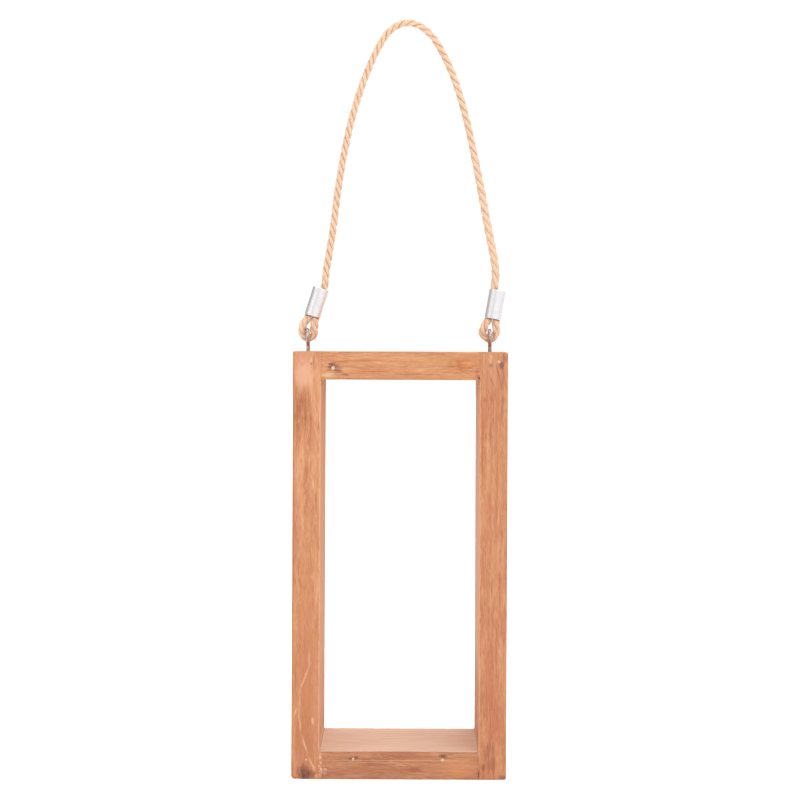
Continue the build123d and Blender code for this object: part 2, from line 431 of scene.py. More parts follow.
# %% [markdown]
# ### Grain
#
# A board is a slice of a tree, so its figure is a slice of the tree's rings. The group
# below measures how far each point lies from the pith, which runs along the board at a
# slight slant, and cuts that distance into rings: pale early wood that darkens slowly
# and stops sharply. Noise that is drawn out along the grain bends the rings and adds
# fibres, streaks, patches and pale veins. Since it is all worked out in space, the end
# grain comes out right by itself.

# %% The grain group
def broken_line(group, vector, spread, width):
    """Thin wavy lines: a noise's middle level, kept only where a second noise is high."""
    level = cloud(group, stretch(group, vector, spread), 1.0, 2.0)
    away = maths(group, "ABSOLUTE", maths(group, "SUBTRACT", level, 0.5))
    line = ramp(group, away, 0.0, width, 1.0, 0.0)
    part = ramp(group, cloud(group, stretch(group, vector, (70.0, 70.0, 34.0)), 1.0, 2.0), 0.46, 0.6)
    return maths(group, "MULTIPLY", line, part)


def make_grain_group():
    group, start, end = new_group(
        "board_grain",
        [("Vector", "Vector", None), ("Pith X", "Float", 0.03), ("Pith Y", "Float", 0.05),
         ("Slant X", "Float", 0.0), ("Slant Y", "Float", 0.0), ("Ring Width", "Float", 0.0026),
         ("Sway", "Float", 0.008), ("Curl", "Float", 0.001), ("Seed", "Float", 0.0)],
        [("Rings", "Float"), ("Fibre", "Float"), ("Streak", "Float"), ("Cloud", "Float"),
         ("Patch", "Float"), ("Vein", "Float")])
    seed = put(group, "CombineXYZ", {0: start.outputs["Seed"], 1: start.outputs["Seed"]}).outputs[0]
    place = put(group, "VectorMath", {0: start.outputs["Vector"], 1: seed}, operation="ADD").outputs[0]
    bent = start.outputs["Vector"]
    for reach, spread in (("Sway", (22.0, 22.0, 7.0)), ("Curl", (110.0, 110.0, 38.0))):
        wave = put(group, "TexNoise", {"Vector": stretch(group, place, spread), "Scale": 1.0, "Detail": 2.0})
        wave = put(group, "VectorMath", {0: wave.outputs["Color"], 1: (0.5, 0.5, 0.5)}, operation="SUBTRACT")
        shift = put(group, "VectorMath", {0: wave.outputs[0], "Scale": start.outputs[reach]},
                    operation="SCALE")
        bent = put(group, "VectorMath", {0: bent, 1: shift.outputs[0]}, operation="ADD").outputs[0]
    axes = put(group, "SeparateXYZ", {0: bent}).outputs
    squares = []
    for axis in ("X", "Y"):
        lean = maths(group, "MULTIPLY", axes["Z"], start.outputs[f"Slant {axis}"])
        pith = maths(group, "ADD", start.outputs[f"Pith {axis}"], lean)
        offset = maths(group, "SUBTRACT", axes[axis], pith)
        squares.append(maths(group, "MULTIPLY", offset, offset))
    radius = maths(group, "SQRT", maths(group, "ADD", *squares))
    phase = maths(group, "FRACT", maths(group, "DIVIDE", radius, start.outputs["Ring Width"]))
    late = maths(group, "POWER", phase, 2.0)
    lines = put(group, "VectorMath", {0: bent, 1: seed}, operation="ADD").outputs[0]
    results = {
        "Rings": maths(group, "MULTIPLY", late, ramp(group, phase, 0.8, 1.0, 1.0, 0.0)),
        "Fibre": cloud(group, stretch(group, lines, (1250.0, 1250.0, 150.0)), 1.0, 3.0, 0.6),
        "Streak": cloud(group, stretch(group, lines, (400.0, 400.0, 34.0)), 1.0, 3.0, 0.6),
        "Cloud": cloud(group, stretch(group, lines, (60.0, 60.0, 17.0)), 1.0, 2.0),
        "Patch": cloud(group, stretch(group, lines, (83.0, 83.0, 25.0)), 1.0, 2.0),
        "Vein": broken_line(group, lines, (170.0, 170.0, 19.0), 0.022),
    }
    for name, value in results.items():
        group.links.new(value, end.inputs[name])
    return group


grain_group = make_grain_group()
print("grain group:", len(grain_group.nodes), "nodes")

# %% [markdown]
# ### Marks, wear with a painted edge highlight, and dust
#
# Three more shared effects. A mark is a soft, ragged blot round one place: iron stain
# round a nail, a smear of glue or a small knot. Made long and thin, with a lean, it is
# one vein of the grain. Wear lightens the edges where hands and sandpaper took the stain
# off; along the opening the lightening is made stronger, as a painted highlight where
# the rounded edges catch the light. Dust settles on faces that look up.

# %% The mark, wear and dust groups
def make_mark_group():
    group, start, end = new_group(
        "mark",
        [("Vector", "Vector", None), ("Centre", "Vector", None), ("Reach", "Vector", (0.003, 0.003, 0.003)),
         ("Lean", "Float", 0.0), ("Feather", "Float", 0.6), ("Ragged", "Float", 0.5),
         ("Ragged Scale", "Vector", (500.0, 500.0, 500.0))],
        [("Mask", "Float")])
    away = put(group, "VectorMath", {0: start.outputs["Vector"], 1: start.outputs["Centre"]},
               operation="SUBTRACT").outputs[0]
    up = put(group, "SeparateXYZ", {0: away}).outputs["Z"]
    bend = maths(group, "MULTIPLY", up, start.outputs["Lean"])
    away = put(group, "VectorMath", {0: away, 1: put(group, "CombineXYZ", {0: bend}).outputs[0]},
               operation="SUBTRACT").outputs[0]
    scaled = put(group, "VectorMath", {0: away, 1: start.outputs["Reach"]}, operation="DIVIDE").outputs[0]
    distance = put(group, "VectorMath", {0: scaled}, operation="LENGTH").outputs["Value"]
    drawn = stretch(group, start.outputs["Vector"], start.outputs["Ragged Scale"])
    rough = maths(group, "SUBTRACT", cloud(group, drawn, 1.0, 3.0), 0.5)
    distance = maths(group, "ADD", distance, maths(group, "MULTIPLY", rough, start.outputs["Ragged"]))
    inner = maths(group, "SUBTRACT", 1.0, start.outputs["Feather"])
    mask = put(group, "MapRange", {"Value": distance, "From Min": inner, "From Max": 1.0,
                                   "To Min": 1.0, "To Max": 0.0}, interpolation_type="SMOOTHSTEP")
    group.links.new(mask.outputs[0], end.inputs["Mask"])
    return group


def make_wear_and_highlight_group():
    group, start, end = new_group(
        "edge_wear_and_highlight",
        [("Vector", "Vector", None), ("Edge", "Float", 0.0), ("Amount", "Float", 0.5)],
        [("Mask", "Float")])
    broken = cloud(group, start.outputs["Vector"], 220.0, 4.0, 0.65)
    worn = maths(group, "ADD", start.outputs["Edge"], maths(group, "MULTIPLY", broken, 0.9))
    limit = maths(group, "SUBTRACT", 1.55, start.outputs["Amount"])
    over = maths(group, "SUBTRACT", worn, limit)
    group.links.new(ramp(group, over, 0.0, 0.35), end.inputs["Mask"])
    return group


def make_dust_group():
    group, start, end = new_group(
        "dust", [("Vector", "Vector", None), ("Amount", "Float", 0.5)], [("Mask", "Float")])
    up = put(group, "SeparateXYZ", {0: put(group, "TexCoord").outputs["Normal"]}).outputs["Z"]
    facing = ramp(group, up, 0.55, 0.95)
    broken = ramp(group, cloud(group, start.outputs["Vector"], 90.0, 4.0, 0.6), 0.3, 0.75, 0.5, 1.0)
    mask = maths(group, "MULTIPLY", maths(group, "MULTIPLY", facing, broken), start.outputs["Amount"])
    group.links.new(mask, end.inputs["Mask"])
    return group


mark_group, wear_and_highlight_group, dust_group = make_mark_group(), make_wear_and_highlight_group(), make_dust_group()
print("shared groups:", [g.name for g in (grain_group, mark_group, wear_and_highlight_group, dust_group)])

# %% [markdown]
# ## Stained pine
#
# The boards are pine under a thin red-brown stain. The stain soaks into early wood more
# than into the hard late rings, lies in cloudy patches, and goes dark where the end
# grain drinks it. The wide upper face of the bottom board was left paler and greyer.
# Every board came out of a different plank, so each has its own pith, slant and marks.

# %% The wood material
def along_z(tree, vector, grain_axis):
    """Turns the coordinates so that the grain runs along Z: X and Z change places for a short board."""
    if grain_axis == 2:
        return vector
    axes = put(tree, "SeparateXYZ", {0: vector}).outputs
    return put(tree, "CombineXYZ", {0: axes["Z"], 1: axes["Y"], 2: axes["X"]}).outputs[0]


def streaky(scale, grain_axis):
    """A texture scale for each axis that draws the pattern out four times along the grain."""
    return [scale / 4 if axis == grain_axis else scale for axis in range(3)]


def wood_material(name, centre, grain_axis, grain, tones, marks, pale_face=None):
    """Stained pine: layers of tone laid over each other, then marks, wear and dust."""
    material, tree, surface = new_material(name, {"Specular IOR Level": 0.1})
    place = put(tree, "TexCoord").outputs["Object"]
    inner = put(tree, "VectorMath", {0: place, 1: centre}, operation="SUBTRACT").outputs[0]
    lengthwise = along_z(tree, inner, grain_axis)
    figure = use(tree, grain_group, {"Vector": lengthwise, **grain})
    edge = put(tree, "Attribute", attribute_name="edge").outputs["Fac"]
    end = put(tree, "Attribute", attribute_name="end").outputs["Fac"]
    colour = paint(*tones["early"])
    layers = (
        (ramp(tree, figure["Cloud"], 0.38, 0.62, 0.0, 0.85), "tan"),
        (ramp(tree, figure["Patch"], 0.44, 0.64, 0.0, 0.65), "red"),
        (maths(tree, "MULTIPLY", figure["Rings"], tones["rings"]), "dark"),
        (ramp(tree, figure["Streak"], 0.28, 0.48, 0.48, 0.0), "dark"),
        (ramp(tree, figure["Streak"], 0.54, 0.74, 0.0, 0.42), "light"),
        (ramp(tree, figure["Fibre"], 0.3, 0.5, 0.46, 0.0), "dark"),
        (ramp(tree, figure["Fibre"], 0.54, 0.72, 0.0, 0.46), "light"),
        (maths(tree, "MULTIPLY", figure["Vein"], 0.4), "light"),
        (maths(tree, "MULTIPLY", end, 0.4), "end"),
    )
    for share, tone in layers:
        colour = blend(tree, share, colour, paint(*tones[tone]))
    if pale_face:
        up = put(tree, "SeparateXYZ", {0: put(tree, "TexCoord").outputs["Normal"]}).outputs["Z"]
        smear = ramp(tree, figure["Streak"], 0.3, 0.6, 0.78, 1.0)
        share = maths(tree, "MULTIPLY", ramp(tree, up, 0.6, 0.95), smear)
        share = maths(tree, "MULTIPLY", share, pale_face[1])
        colour = blend(tree, share, colour, paint(*pale_face[0]))
    for mark in marks:
        mask = use(tree, mark_group, {
            "Vector": place, "Centre": [c * MM for c in mark["at"]], "Reach": [r * MM for r in mark["reach"]],
            "Lean": mark.get("lean", 0.0), "Feather": mark.get("feather", 0.7),
            "Ragged": mark.get("ragged", 0.6),
            "Ragged Scale": streaky(mark.get("scale", 500.0), grain_axis)})["Mask"]
        colour = blend(tree, maths(tree, "MULTIPLY", mask, mark["strength"]), colour, paint(*mark["colour"]))
    # Edges lightened: worn stain, and along the opening a painted highlight.
    worn = use(tree, wear_and_highlight_group, {"Vector": place, "Edge": edge, "Amount": 0.7})["Mask"]
    colour = blend(tree, maths(tree, "MULTIPLY", worn, 0.5), colour, paint(*tones["worn"]))
    dusty = use(tree, dust_group, {"Vector": place, "Amount": 0.16})["Mask"]
    colour = blend(tree, dusty, colour, paint(232, 214, 198))
    tree.links.new(colour, surface.inputs["Base Color"])
    rough = ramp(tree, figure["Streak"], 0.3, 0.7, 0.62, 0.5)
    rough = maths(tree, "ADD", rough, maths(tree, "MULTIPLY", dusty, 0.6), True)
    tree.links.new(rough, surface.inputs["Roughness"])
    height = maths(tree, "ADD", maths(tree, "MULTIPLY", figure["Fibre"], 0.6), figure["Streak"])
    bump = put(tree, "Bump", {"Height": height, "Strength": 0.3, "Distance": 0.12 * MM})
    tree.links.new(bump.outputs[0], surface.inputs["Normal"])
    return material


print("wood finish ready")

# %% [markdown]
# ## The boards
#
# A sawn and sanded board is a box whose edges are soft, and softer on the outside of
# the frame than in its joints. So we start from rows of points on a sharp box, closer
# together near its edges, and draw each point in to a rounded edge whose radius changes
# from place to place. A low relief is added on top: planing waves, raised grain, small
# knocks along the edges, and a dip round each filled nail.

# %% Points on a sharp box
def edge_marks(length, coarse):
    """Distances along an edge: close together near both corners and coarse between them."""
    near = np.array([0, 0.15, 0.32, 0.52, 0.76, 1.05, 1.42, 1.9, 2.5, 3.3]) * MM
    count = max(3, round((length - 2 * near[-1]) / coarse) + 1)
    middle = np.linspace(near[-1], length - near[-1], count)[1:-1]
    return np.concatenate([near, middle, length - near[::-1]])


def rectangle_ring(size_a, size_b, coarse_a, coarse_b):
    """Points once round a rectangle from its lowest corner, each corner given once."""
    a, b = edge_marks(size_a, coarse_a), edge_marks(size_b, coarse_b)
    sides = [
        np.column_stack([a[:-1], np.zeros(len(a) - 1)]),
        np.column_stack([np.full(len(b) - 1, size_a), b[:-1]]),
        np.column_stack([a[:0:-1], np.full(len(a) - 1, size_b)]),
        np.column_stack([np.zeros(len(b) - 1), b[:0:-1]]),
    ]
    return np.concatenate(sides)


END_SHRINK = np.array([0.06, 0.16, 0.28, 0.4, 0.52, 0.63, 0.73, 0.81, 0.87, 0.915, 0.945, 0.966, 0.983])


def box_rows(low, high, grain_axis):
    """A box as rows of rings along the grain; the rings of an end face shrink to its middle."""
    size = high - low
    across = [axis for axis in (0, 1, 2) if axis != grain_axis]
    coarse = [1.0 * MM if size[axis] < 0.03 else 2.4 * MM for axis in across]
    ring = rectangle_ring(size[across[0]], size[across[1]], *coarse)
    middle = ring.max(axis=0) / 2
    marks = edge_marks(size[grain_axis], 1.6 * MM)
    shrink = np.concatenate([END_SHRINK, np.ones(len(marks)), END_SHRINK[::-1]])
    level = np.concatenate([np.zeros(len(END_SHRINK)), marks, np.full(len(END_SHRINK), marks[-1])])
    rows = np.zeros((len(level), len(ring), 3))
    rows[..., across] = middle + shrink[:, None, None] * (ring - middle)
    rows[..., grain_axis] = level[:, None]
    return rows + low


print("points round a board:", len(rectangle_ring(board, 95 * MM, 1.0 * MM, 2.4 * MM)))

# %% Soften the box
def second_nearest(points, low, high):
    """How far each point of a box's surface is from the nearest edge."""
    to_faces = np.minimum(points - low, high - points)
    return np.sort(to_faces, axis=-1)[..., 1]


def soften(points, low, high, radius, relief):
    """A sharp box's points on a box with rounded edges.

    A point is first held inside the box by its own radius, which gives q. The result is
    q plus the radius and the relief along the unit direction from q to the point.
    """
    inside = np.clip(points, low + radius[..., None], high - radius[..., None])
    outward = points - inside
    outward /= np.maximum(np.linalg.norm(outward, axis=-1, keepdims=True), 1e-12)
    return inside + (radius + relief)[..., None] * outward, outward


def wood_relief(points, grain_axis, seed, near_edge, dips):
    """Heights above the planed face: waves, raised grain, knocks on edges, and dips round nails."""
    drawn = points.copy()
    drawn[..., grain_axis] /= 14
    height = 0.07 * MM * soft_noise(points, 38 * MM, seed)
    height += 0.03 * MM * soft_noise(drawn, 1.9 * MM, seed + 1)
    knocks = smoothstep(0.35, 0.8, soft_noise(points, 5.5 * MM, seed + 2))
    height -= 0.30 * MM * knocks * near_edge
    for dip in dips:
        away = np.linalg.norm(points - dip, axis=-1)
        height -= 0.22 * MM * np.exp(-(away / (1.7 * MM)) ** 2)
    return height


print("softening ready")

# %% Find the fillers' places in the model
def plug_places(node):
    """The outer middle of each separate plug of a node, found by gathering close points."""
    points = np.array([v.co for v in frame["nodes"][node].data.vertices])
    groups = []
    for point in points:
        near = next((g for g in groups if np.linalg.norm(g[0] - point) < 4 * MM), None)
        groups.append([point]) if near is None else near.append(point)
    return [(np.min(g, axis=0) + np.max(g, axis=0)) / 2 for g in groups]


plugs = {node: plug_places(node) for node in ("front_fillers", "left_side_fillers", "right_side_fillers")}
for middle in plugs["front_fillers"]:
    middle[1] = box_low[1]
for side, face in (("left", box_low[0]), ("right", box_high[0])):
    for middle in plugs[f"{side}_side_fillers"]:
        middle[0] = face
print("plugs:", {node: len(places) for node, places in plugs.items()})

# %% Board shapes
inner_x = span("bottom_board")[1][0]
lower_joint = span("bottom_board")[1][2]
upper_joint = span("top_board")[0][2]


def side_radius(points, sign):
    """Edge radius of a side board: large outside, small along the opening, tiny in the joints."""
    outer = smoothstep(0.25, 0.75, (sign * points[..., 0] - inner_x) / board)
    level = points[..., 2]
    joint = np.maximum(smoothstep(lower_joint + 1.5 * MM, lower_joint - 0.5 * MM, level),
                       smoothstep(upper_joint - 1.5 * MM, upper_joint + 0.5 * MM, level))
    inner_edge = (0.95 - 0.72 * joint) * MM
    foot = smoothstep(11 * MM, 1 * MM, level) if sign < 0 else 0.0
    worn = 1 + 0.25 * soft_noise(points, 26 * MM, 11 + sign)
    return (inner_edge + (1.45 * MM + 1.7 * MM * foot - inner_edge) * outer) * worn


def short_radius(points, sign):
    """Edge radius of the top or bottom board: tiny at its ends, small along the opening."""
    from_end = inner_x - np.abs(points[..., 0])
    free = smoothstep(0.0, 2.5 * MM, from_end)
    worn = 1 + 0.3 * soft_noise(points, 22 * MM, 17 + sign)
    return (0.23 + 0.85 * free) * MM * worn


def wear_and_edge_highlight(points, grain_axis):
    """How much the edges are lightened, as lost stain and a painted highlight: most along the opening, little
    on the outside.
    """
    if grain_axis == 2:
        return 0.2 + 0.8 * smoothstep(inner_x + board * 0.6, inner_x + board * 0.2, np.abs(points[..., 0]))
    return 0.45 * np.ones(points.shape[:-1])


def make_board(node, grain_axis, radius_of, sign, seed):
    """A softened, slightly uneven board in the place of the model's plain one."""
    low, high = span(node)
    sharp = box_rows(low, high, grain_axis)
    radius = radius_of(sharp, sign)
    near_edge = np.exp(-second_nearest(sharp, low, high) / (1.5 * MM))
    near_edge = near_edge * smoothstep(0.3 * MM, 0.9 * MM, radius)
    dips = [p for places in plugs.values() for p in places if np.all(p > low - MM) and np.all(p < high + MM)]
    relief = wood_relief(sharp, grain_axis, seed, near_edge, dips)
    shaped, outward = soften(sharp, low, high, radius, relief)
    fields = {"edge": [near_edge * wear_and_edge_highlight(sharp, grain_axis)],
              "end": [smoothstep(0.6, 0.95, np.abs(outward[..., grain_axis]))]}
    size = (2 * (high - low).sum() - 2 * (high - low)[grain_axis], (high - low)[grain_axis])
    return skin(node.replace("_board", "_plank"), [shaped], size, fields)


planks = {
    "left_side_board": make_board("left_side_board", 2, side_radius, -1, 21),
    "right_side_board": make_board("right_side_board", 2, side_radius, 1, 31),
    "top_board": make_board("top_board", 0, short_radius, 1, 41),
    "bottom_board": make_board("bottom_board", 0, short_radius, -1, 51),
}

# %% [markdown]
# ### The planks' own colours and marks
#
# Iron from the brads has turned the stain blue-black beside some of them, glue has left
# pale smears that would not take stain, and a knot or a curl shows here and there. Each
# mark is one line: its place on the board, how far it reaches, its colour and strength.

# %% Marks on the four boards
FRONT = box_low[1] / MM
SOAK = 4.0                     # how deep a mark goes into the board, in mm
IRON, GLUE, ORANGE, BROWN = (98, 66, 66), (242, 204, 166), (224, 138, 72), (168, 104, 72)
# The last of these is the tone of a painted reflection of the pale shelf on the side boards' inner faces.
LIGHT, DARK, SHELF_REFLECTION = (242, 200, 160), (150, 92, 66), (224, 186, 162)


def stain(x, z, reach_x, reach_z, colour, strength, **more):
    """One mark on the front of a board, in mm."""
    return {"at": (x, FRONT, z), "reach": (reach_x, SOAK, reach_z), "colour": colour,
            "strength": strength, **more}


def vein(points, half_width, colour, strengths):
    """A line of the grain as leaning marks, one between each two points, in mm."""
    marks = []
    for (x0, z0), (x1, z1), strength in zip(points, points[1:], strengths):
        lean = (x1 - x0) / (z1 - z0)
        marks.append(stain((x0 + x1) / 2, (z0 + z1) / 2, half_width, 0.78 * abs(z1 - z0), colour, strength,
                           lean=lean, ragged=1.5, scale=640.0, feather=0.95))
    return marks


def shelf_reflection(side):
    """A painted reflection of the pale shelf, a little way up the inner face of a side board."""
    return {"at": (side * inner_x / MM, -6.0, 20.0), "reach": (1.6, 52.0, 9.5), "colour": SHELF_REFLECTION,
            "strength": 0.85, "ragged": 0.5, "feather": 0.35}


def inner_face_light(side, colour, strength):
    """Painted light: a lighter tone over the whole inner face of a side board."""
    return {"at": (side * inner_x / MM, 0.0, 190.0), "reach": (0.55, 160.0, 135.0), "colour": colour,
            "strength": strength, "ragged": 0.1, "feather": 0.35}


left_marks = [
    # Painted light on the left board's inner face.
    inner_face_light(-1, (244, 190, 140), 0.24),
    stain(-72.0, 301.0, 10.0, 16.0, (238, 182, 152), 0.72, ragged=0.5),
    stain(-73.5, 312.0, 8.0, 7.0, (226, 156, 136), 0.4, ragged=0.9),
    stain(-73.5, 276.0, 6.5, 17.0, BROWN, 0.55, ragged=2.2, scale=420.0, feather=0.95),
    stain(-77.0, 271.0, 3.6, 24.0, (176, 106, 66), 0.5, ragged=1.6, scale=420.0, feather=0.9),
    stain(-69.0, 268.0, 4.2, 12.0, BROWN, 0.38, ragged=2.2, scale=420.0, feather=0.95),
    stain(-60.9, 262.0, 0.8, 5.5, DARK, 0.6, ragged=0.8),
    # Painted shade: a darker strip down the outer edge of the left board.
    stain(-79.2, 200.0, 1.3, 150.0, (176, 108, 74), 0.45, ragged=1.0),
    stain(-69.5, 66.0, 15.0, 125.0, (196, 126, 92), 0.66, ragged=0.4, feather=0.9),
    stain(-70.0, 24.0, 12.0, 30.0, (184, 116, 86), 0.4, ragged=0.9, feather=0.9),
    *vein([(-67.6, 239.0), (-67.8, 229.0), (-64.6, 222.0), (-64.2, 214.0)], 0.9, LIGHT, (0.5, 0.35, 0.5)),
    stain(-72.6, 228.0, 1.2, 9.0, (218, 172, 118), 0.45, ragged=1.4),
    stain(-68.0, 232.0, 3.0, 10.0, (200, 116, 84), 0.35, ragged=1.6),
    stain(-65.0, 126.0, 3.4, 12.0, (198, 118, 88), 0.35, ragged=1.6),
    stain(-72.0, 170.0, 5.0, 12.0, (220, 168, 124), 0.35, ragged=1.6, feather=0.95),
    *vein([(-66.7, 97.0), (-66.9, 84.0), (-73.3, 67.0), (-74.0, 46.0), (-72.4, 34.0),
           (-67.6, 18.0), (-61.0, 4.0)], 1.25, (238, 192, 150), (0.4, 0.6, 0.42, 0.52, 0.62, 0.6)),
    *vein([(-75.9, 53.0), (-77.9, 47.0)], 0.7, LIGHT, (0.6,)),
    stain(-64.2, 43.5, 1.0, 4.0, GLUE, 0.62, ragged=1.0),
    stain(-70.2, 6.6, 6.8, 9.5, IRON, 0.66, ragged=1.5, scale=520.0, feather=0.95),
    stain(-69.6, 3.0, 7.0, 5.6, (92, 56, 58), 0.6, ragged=1.0, scale=520.0, feather=0.95),
    stain(-77.0, 1.6, 4.8, 3.6, ORANGE, 0.75, ragged=0.9, feather=0.9),
    stain(-64.4, 3.6, 4.6, 5.0, (132, 80, 60), 0.6, ragged=1.4, feather=0.9),
    stain(-72.8, 308.3, 1.6, 1.8, IRON, 0.12),
    stain(-66.2, 308.6, 1.0, 1.2, DARK, 0.55),
    stain(-64.6, 309.0, 0.7, 9.0, DARK, 0.4, ragged=0.6),
    shelf_reflection(-1),
]
right_marks = [
    # Painted light on the right board's inner face.
    inner_face_light(1, (250, 210, 174), 0.5),
    stain(69.0, 301.0, 10.0, 18.0, (214, 154, 124), 0.4, ragged=0.8, feather=0.9),
    stain(75.2, 308.3, 3.2, 4.4, (92, 76, 88), 0.66, ragged=1.3, scale=600.0, feather=0.9),
    stain(67.0, 308.0, 2.4, 2.4, (112, 86, 88), 0.45, ragged=1.2, feather=0.9),
    stain(67.3, 314.4, 0.9, 2.6, (238, 196, 174), 0.6, ragged=1.2),
    stain(77.4, 313.0, 2.8, 6.0, (140, 88, 82), 0.55, ragged=1.4, scale=600.0, feather=0.9),
    *vein([(70.6, 309.5), (73.8, 298.5), (75.4, 288.0), (76.0, 270.0)], 0.8, (138, 80, 66), (0.5, 0.45, 0.3)),
    *vein([(66.0, 301.0), (70.0, 291.0), (71.6, 280.0)], 0.8, (142, 86, 64), (0.4, 0.3)),
    *vein([(73.0, 310.0), (77.0, 302.0), (78.2, 292.0)], 0.7, (128, 78, 66), (0.4, 0.3)),
    stain(62.6, 282.0, 2.2, 4.0, (150, 84, 60), 0.4, ragged=1.4),
    stain(61.2, 248.0, 1.0, 52.0, (188, 104, 52), 0.62, ragged=1.0),
    stain(66.0, 198.0, 4.0, 20.0, (190, 110, 84), 0.35, ragged=1.4),
    stain(76.2, 183.0, 0.7, 4.5, DARK, 0.5),
    stain(68.4, 142.0, 0.8, 6.5, DARK, 0.5, ragged=0.8),
    stain(75.0, 228.0, 3.4, 50.0, (216, 164, 112), 0.3, ragged=1.4),
    stain(69.5, 60.0, 8.5, 75.0, (186, 108, 82), 0.4, ragged=0.9, feather=1.0),
    *vein([(76.6, 46.0), (75.4, 36.0), (73.2, 31.0)], 0.8, (206, 116, 56), (0.5, 0.5)),
    stain(66.0, 20.0, 5.0, 10.0, (142, 88, 64), 0.42, ragged=2.2, scale=420.0, feather=0.95),
    stain(62.8, 9.4, 2.6, 3.4, (120, 76, 56), 0.45, ragged=1.3),
    stain(70.0, 12.0, 5.5, 7.0, (146, 90, 64), 0.35, ragged=1.8),
    stain(76.8, 2.0, 5.0, 2.6, (118, 80, 64), 0.5, ragged=0.8),
    stain(59.4, 4.0, 0.7, 4.5, (96, 58, 44), 0.7, ragged=0.6),
    shelf_reflection(1),
]
top_marks = [
    stain(47.0, 307.0, 20.0, 14.0, (190, 122, 80), 0.42, ragged=0.5, feather=0.9),
    stain(-50.6, 306.8, 5.4, 4.6, (92, 60, 72), 0.78, ragged=2.0, scale=700.0, feather=0.9),
    stain(-46.0, 304.2, 4.4, 2.4, (92, 62, 78), 0.66, ragged=1.7, scale=700.0, feather=0.9),
    stain(-41.6, 300.8, 5.0, 1.3, (146, 78, 62), 0.6, ragged=1.2),
    stain(-53.5, 300.6, 8.5, 2.4, (232, 194, 152), 0.66, ragged=1.8, scale=600.0, feather=0.8),
    stain(-22.0, 303.2, 20.0, 0.7, (158, 96, 62), 0.5, ragged=1.3),
    stain(12.0, 301.2, 26.0, 0.7, (164, 100, 64), 0.45, ragged=1.3),
    stain(47.0, 307.8, 8.0, 7.0, (190, 112, 70), 0.5, ragged=1.8, scale=520.0, feather=0.95),
    stain(50.4, 308.9, 6.6, 4.2, (230, 166, 108), 0.6, ragged=2.6, scale=640.0, feather=1.0),
    stain(48.8, 306.3, 5.6, 1.7, (196, 110, 58), 0.5, ragged=1.8, feather=0.95),
    stain(51.8, 306.2, 2.0, 0.8, (150, 80, 50), 0.45, ragged=1.4, feather=0.9),
    *vein([(42.4, 312.4), (43.2, 307.6), (45.2, 303.8), (48.8, 302.2)], 1.7, (180, 98, 62),
          (0.36, 0.4, 0.36)),
    stain(37.1, 309.8, 1.5, 3.0, (150, 92, 62), 0.3, lean=0.3, ragged=2.0, feather=0.95),
    stain(35.8, 307.0, 5.4, 0.9, (154, 96, 64), 0.36, ragged=2.4, scale=700.0, feather=0.95),
    stain(57.0, 302.4, 2.8, 5.0, (150, 80, 60), 0.5, ragged=1.8, feather=0.95),
    stain(58.4, 298.4, 1.1, 1.5, (90, 44, 36), 0.8, ragged=0.5),
    stain(30.0, 311.0, 16.0, 4.0, (206, 160, 108), 0.4, ragged=1.4),
    stain(-57.6, 298.4, 2.6, 1.4, (214, 138, 62), 0.7, ragged=0.8),
    stain(0.0, 317.4, 60.0, 1.1, (164, 102, 74), 0.35, ragged=1.0),
]
bottom_marks = [
    stain(46.0, 9.0, 22.0, 12.0, (222, 152, 110), 0.5, ragged=0.6, feather=0.9),
    stain(-34.6, 15.4, 5.0, 2.6, (92, 58, 50), 0.66, ragged=1.6, scale=520.0, feather=0.85),
    stain(-31.2, 16.2, 2.6, 1.6, (92, 58, 50), 0.6, ragged=1.2, scale=520.0),
    stain(33.0, 17.4, 4.2, 2.4, (92, 58, 50), 0.66, ragged=1.4, scale=520.0, feather=0.85),
    stain(0.0, 14.2, 75.0, 0.45, (232, 178, 138), 0.62, ragged=1.2),
    stain(-20.0, 12.6, 40.0, 0.4, (224, 168, 128), 0.4, ragged=1.4),
    stain(-55.4, 5.6, 3.2, 2.6, (186, 160, 146), 0.45, ragged=1.0),
    stain(-30.0, 6.4, 14.0, 3.2, (182, 120, 98), 0.45, ragged=1.3),
    stain(8.0, 17.0, 30.0, 2.4, (168, 98, 74), 0.4, ragged=1.3),
    stain(44.0, 5.0, 12.0, 3.0, (222, 148, 92), 0.5, ragged=1.3),
    stain(12.0, 7.4, 6.0, 2.6, (154, 98, 74), 0.4, ragged=1.4),
    stain(0.0, 20.4, 60.0, 1.0, (176, 110, 76), 0.5, ragged=1.0),
]
print("marks:", [len(m) for m in (left_marks, right_marks, top_marks, bottom_marks)])

# %% Stain the boards
# The 'worn' tone lightens the edges, as lost stain and as a painted highlight.
TONE_NAMES = "early", "tan", "red", "dark", "light", "end", "worn"


def tone_set(rings, *colours):
    """The stain's colours by name, and how strongly the rings show."""
    return {**dict(zip(TONE_NAMES, colours)), "rings": rings}


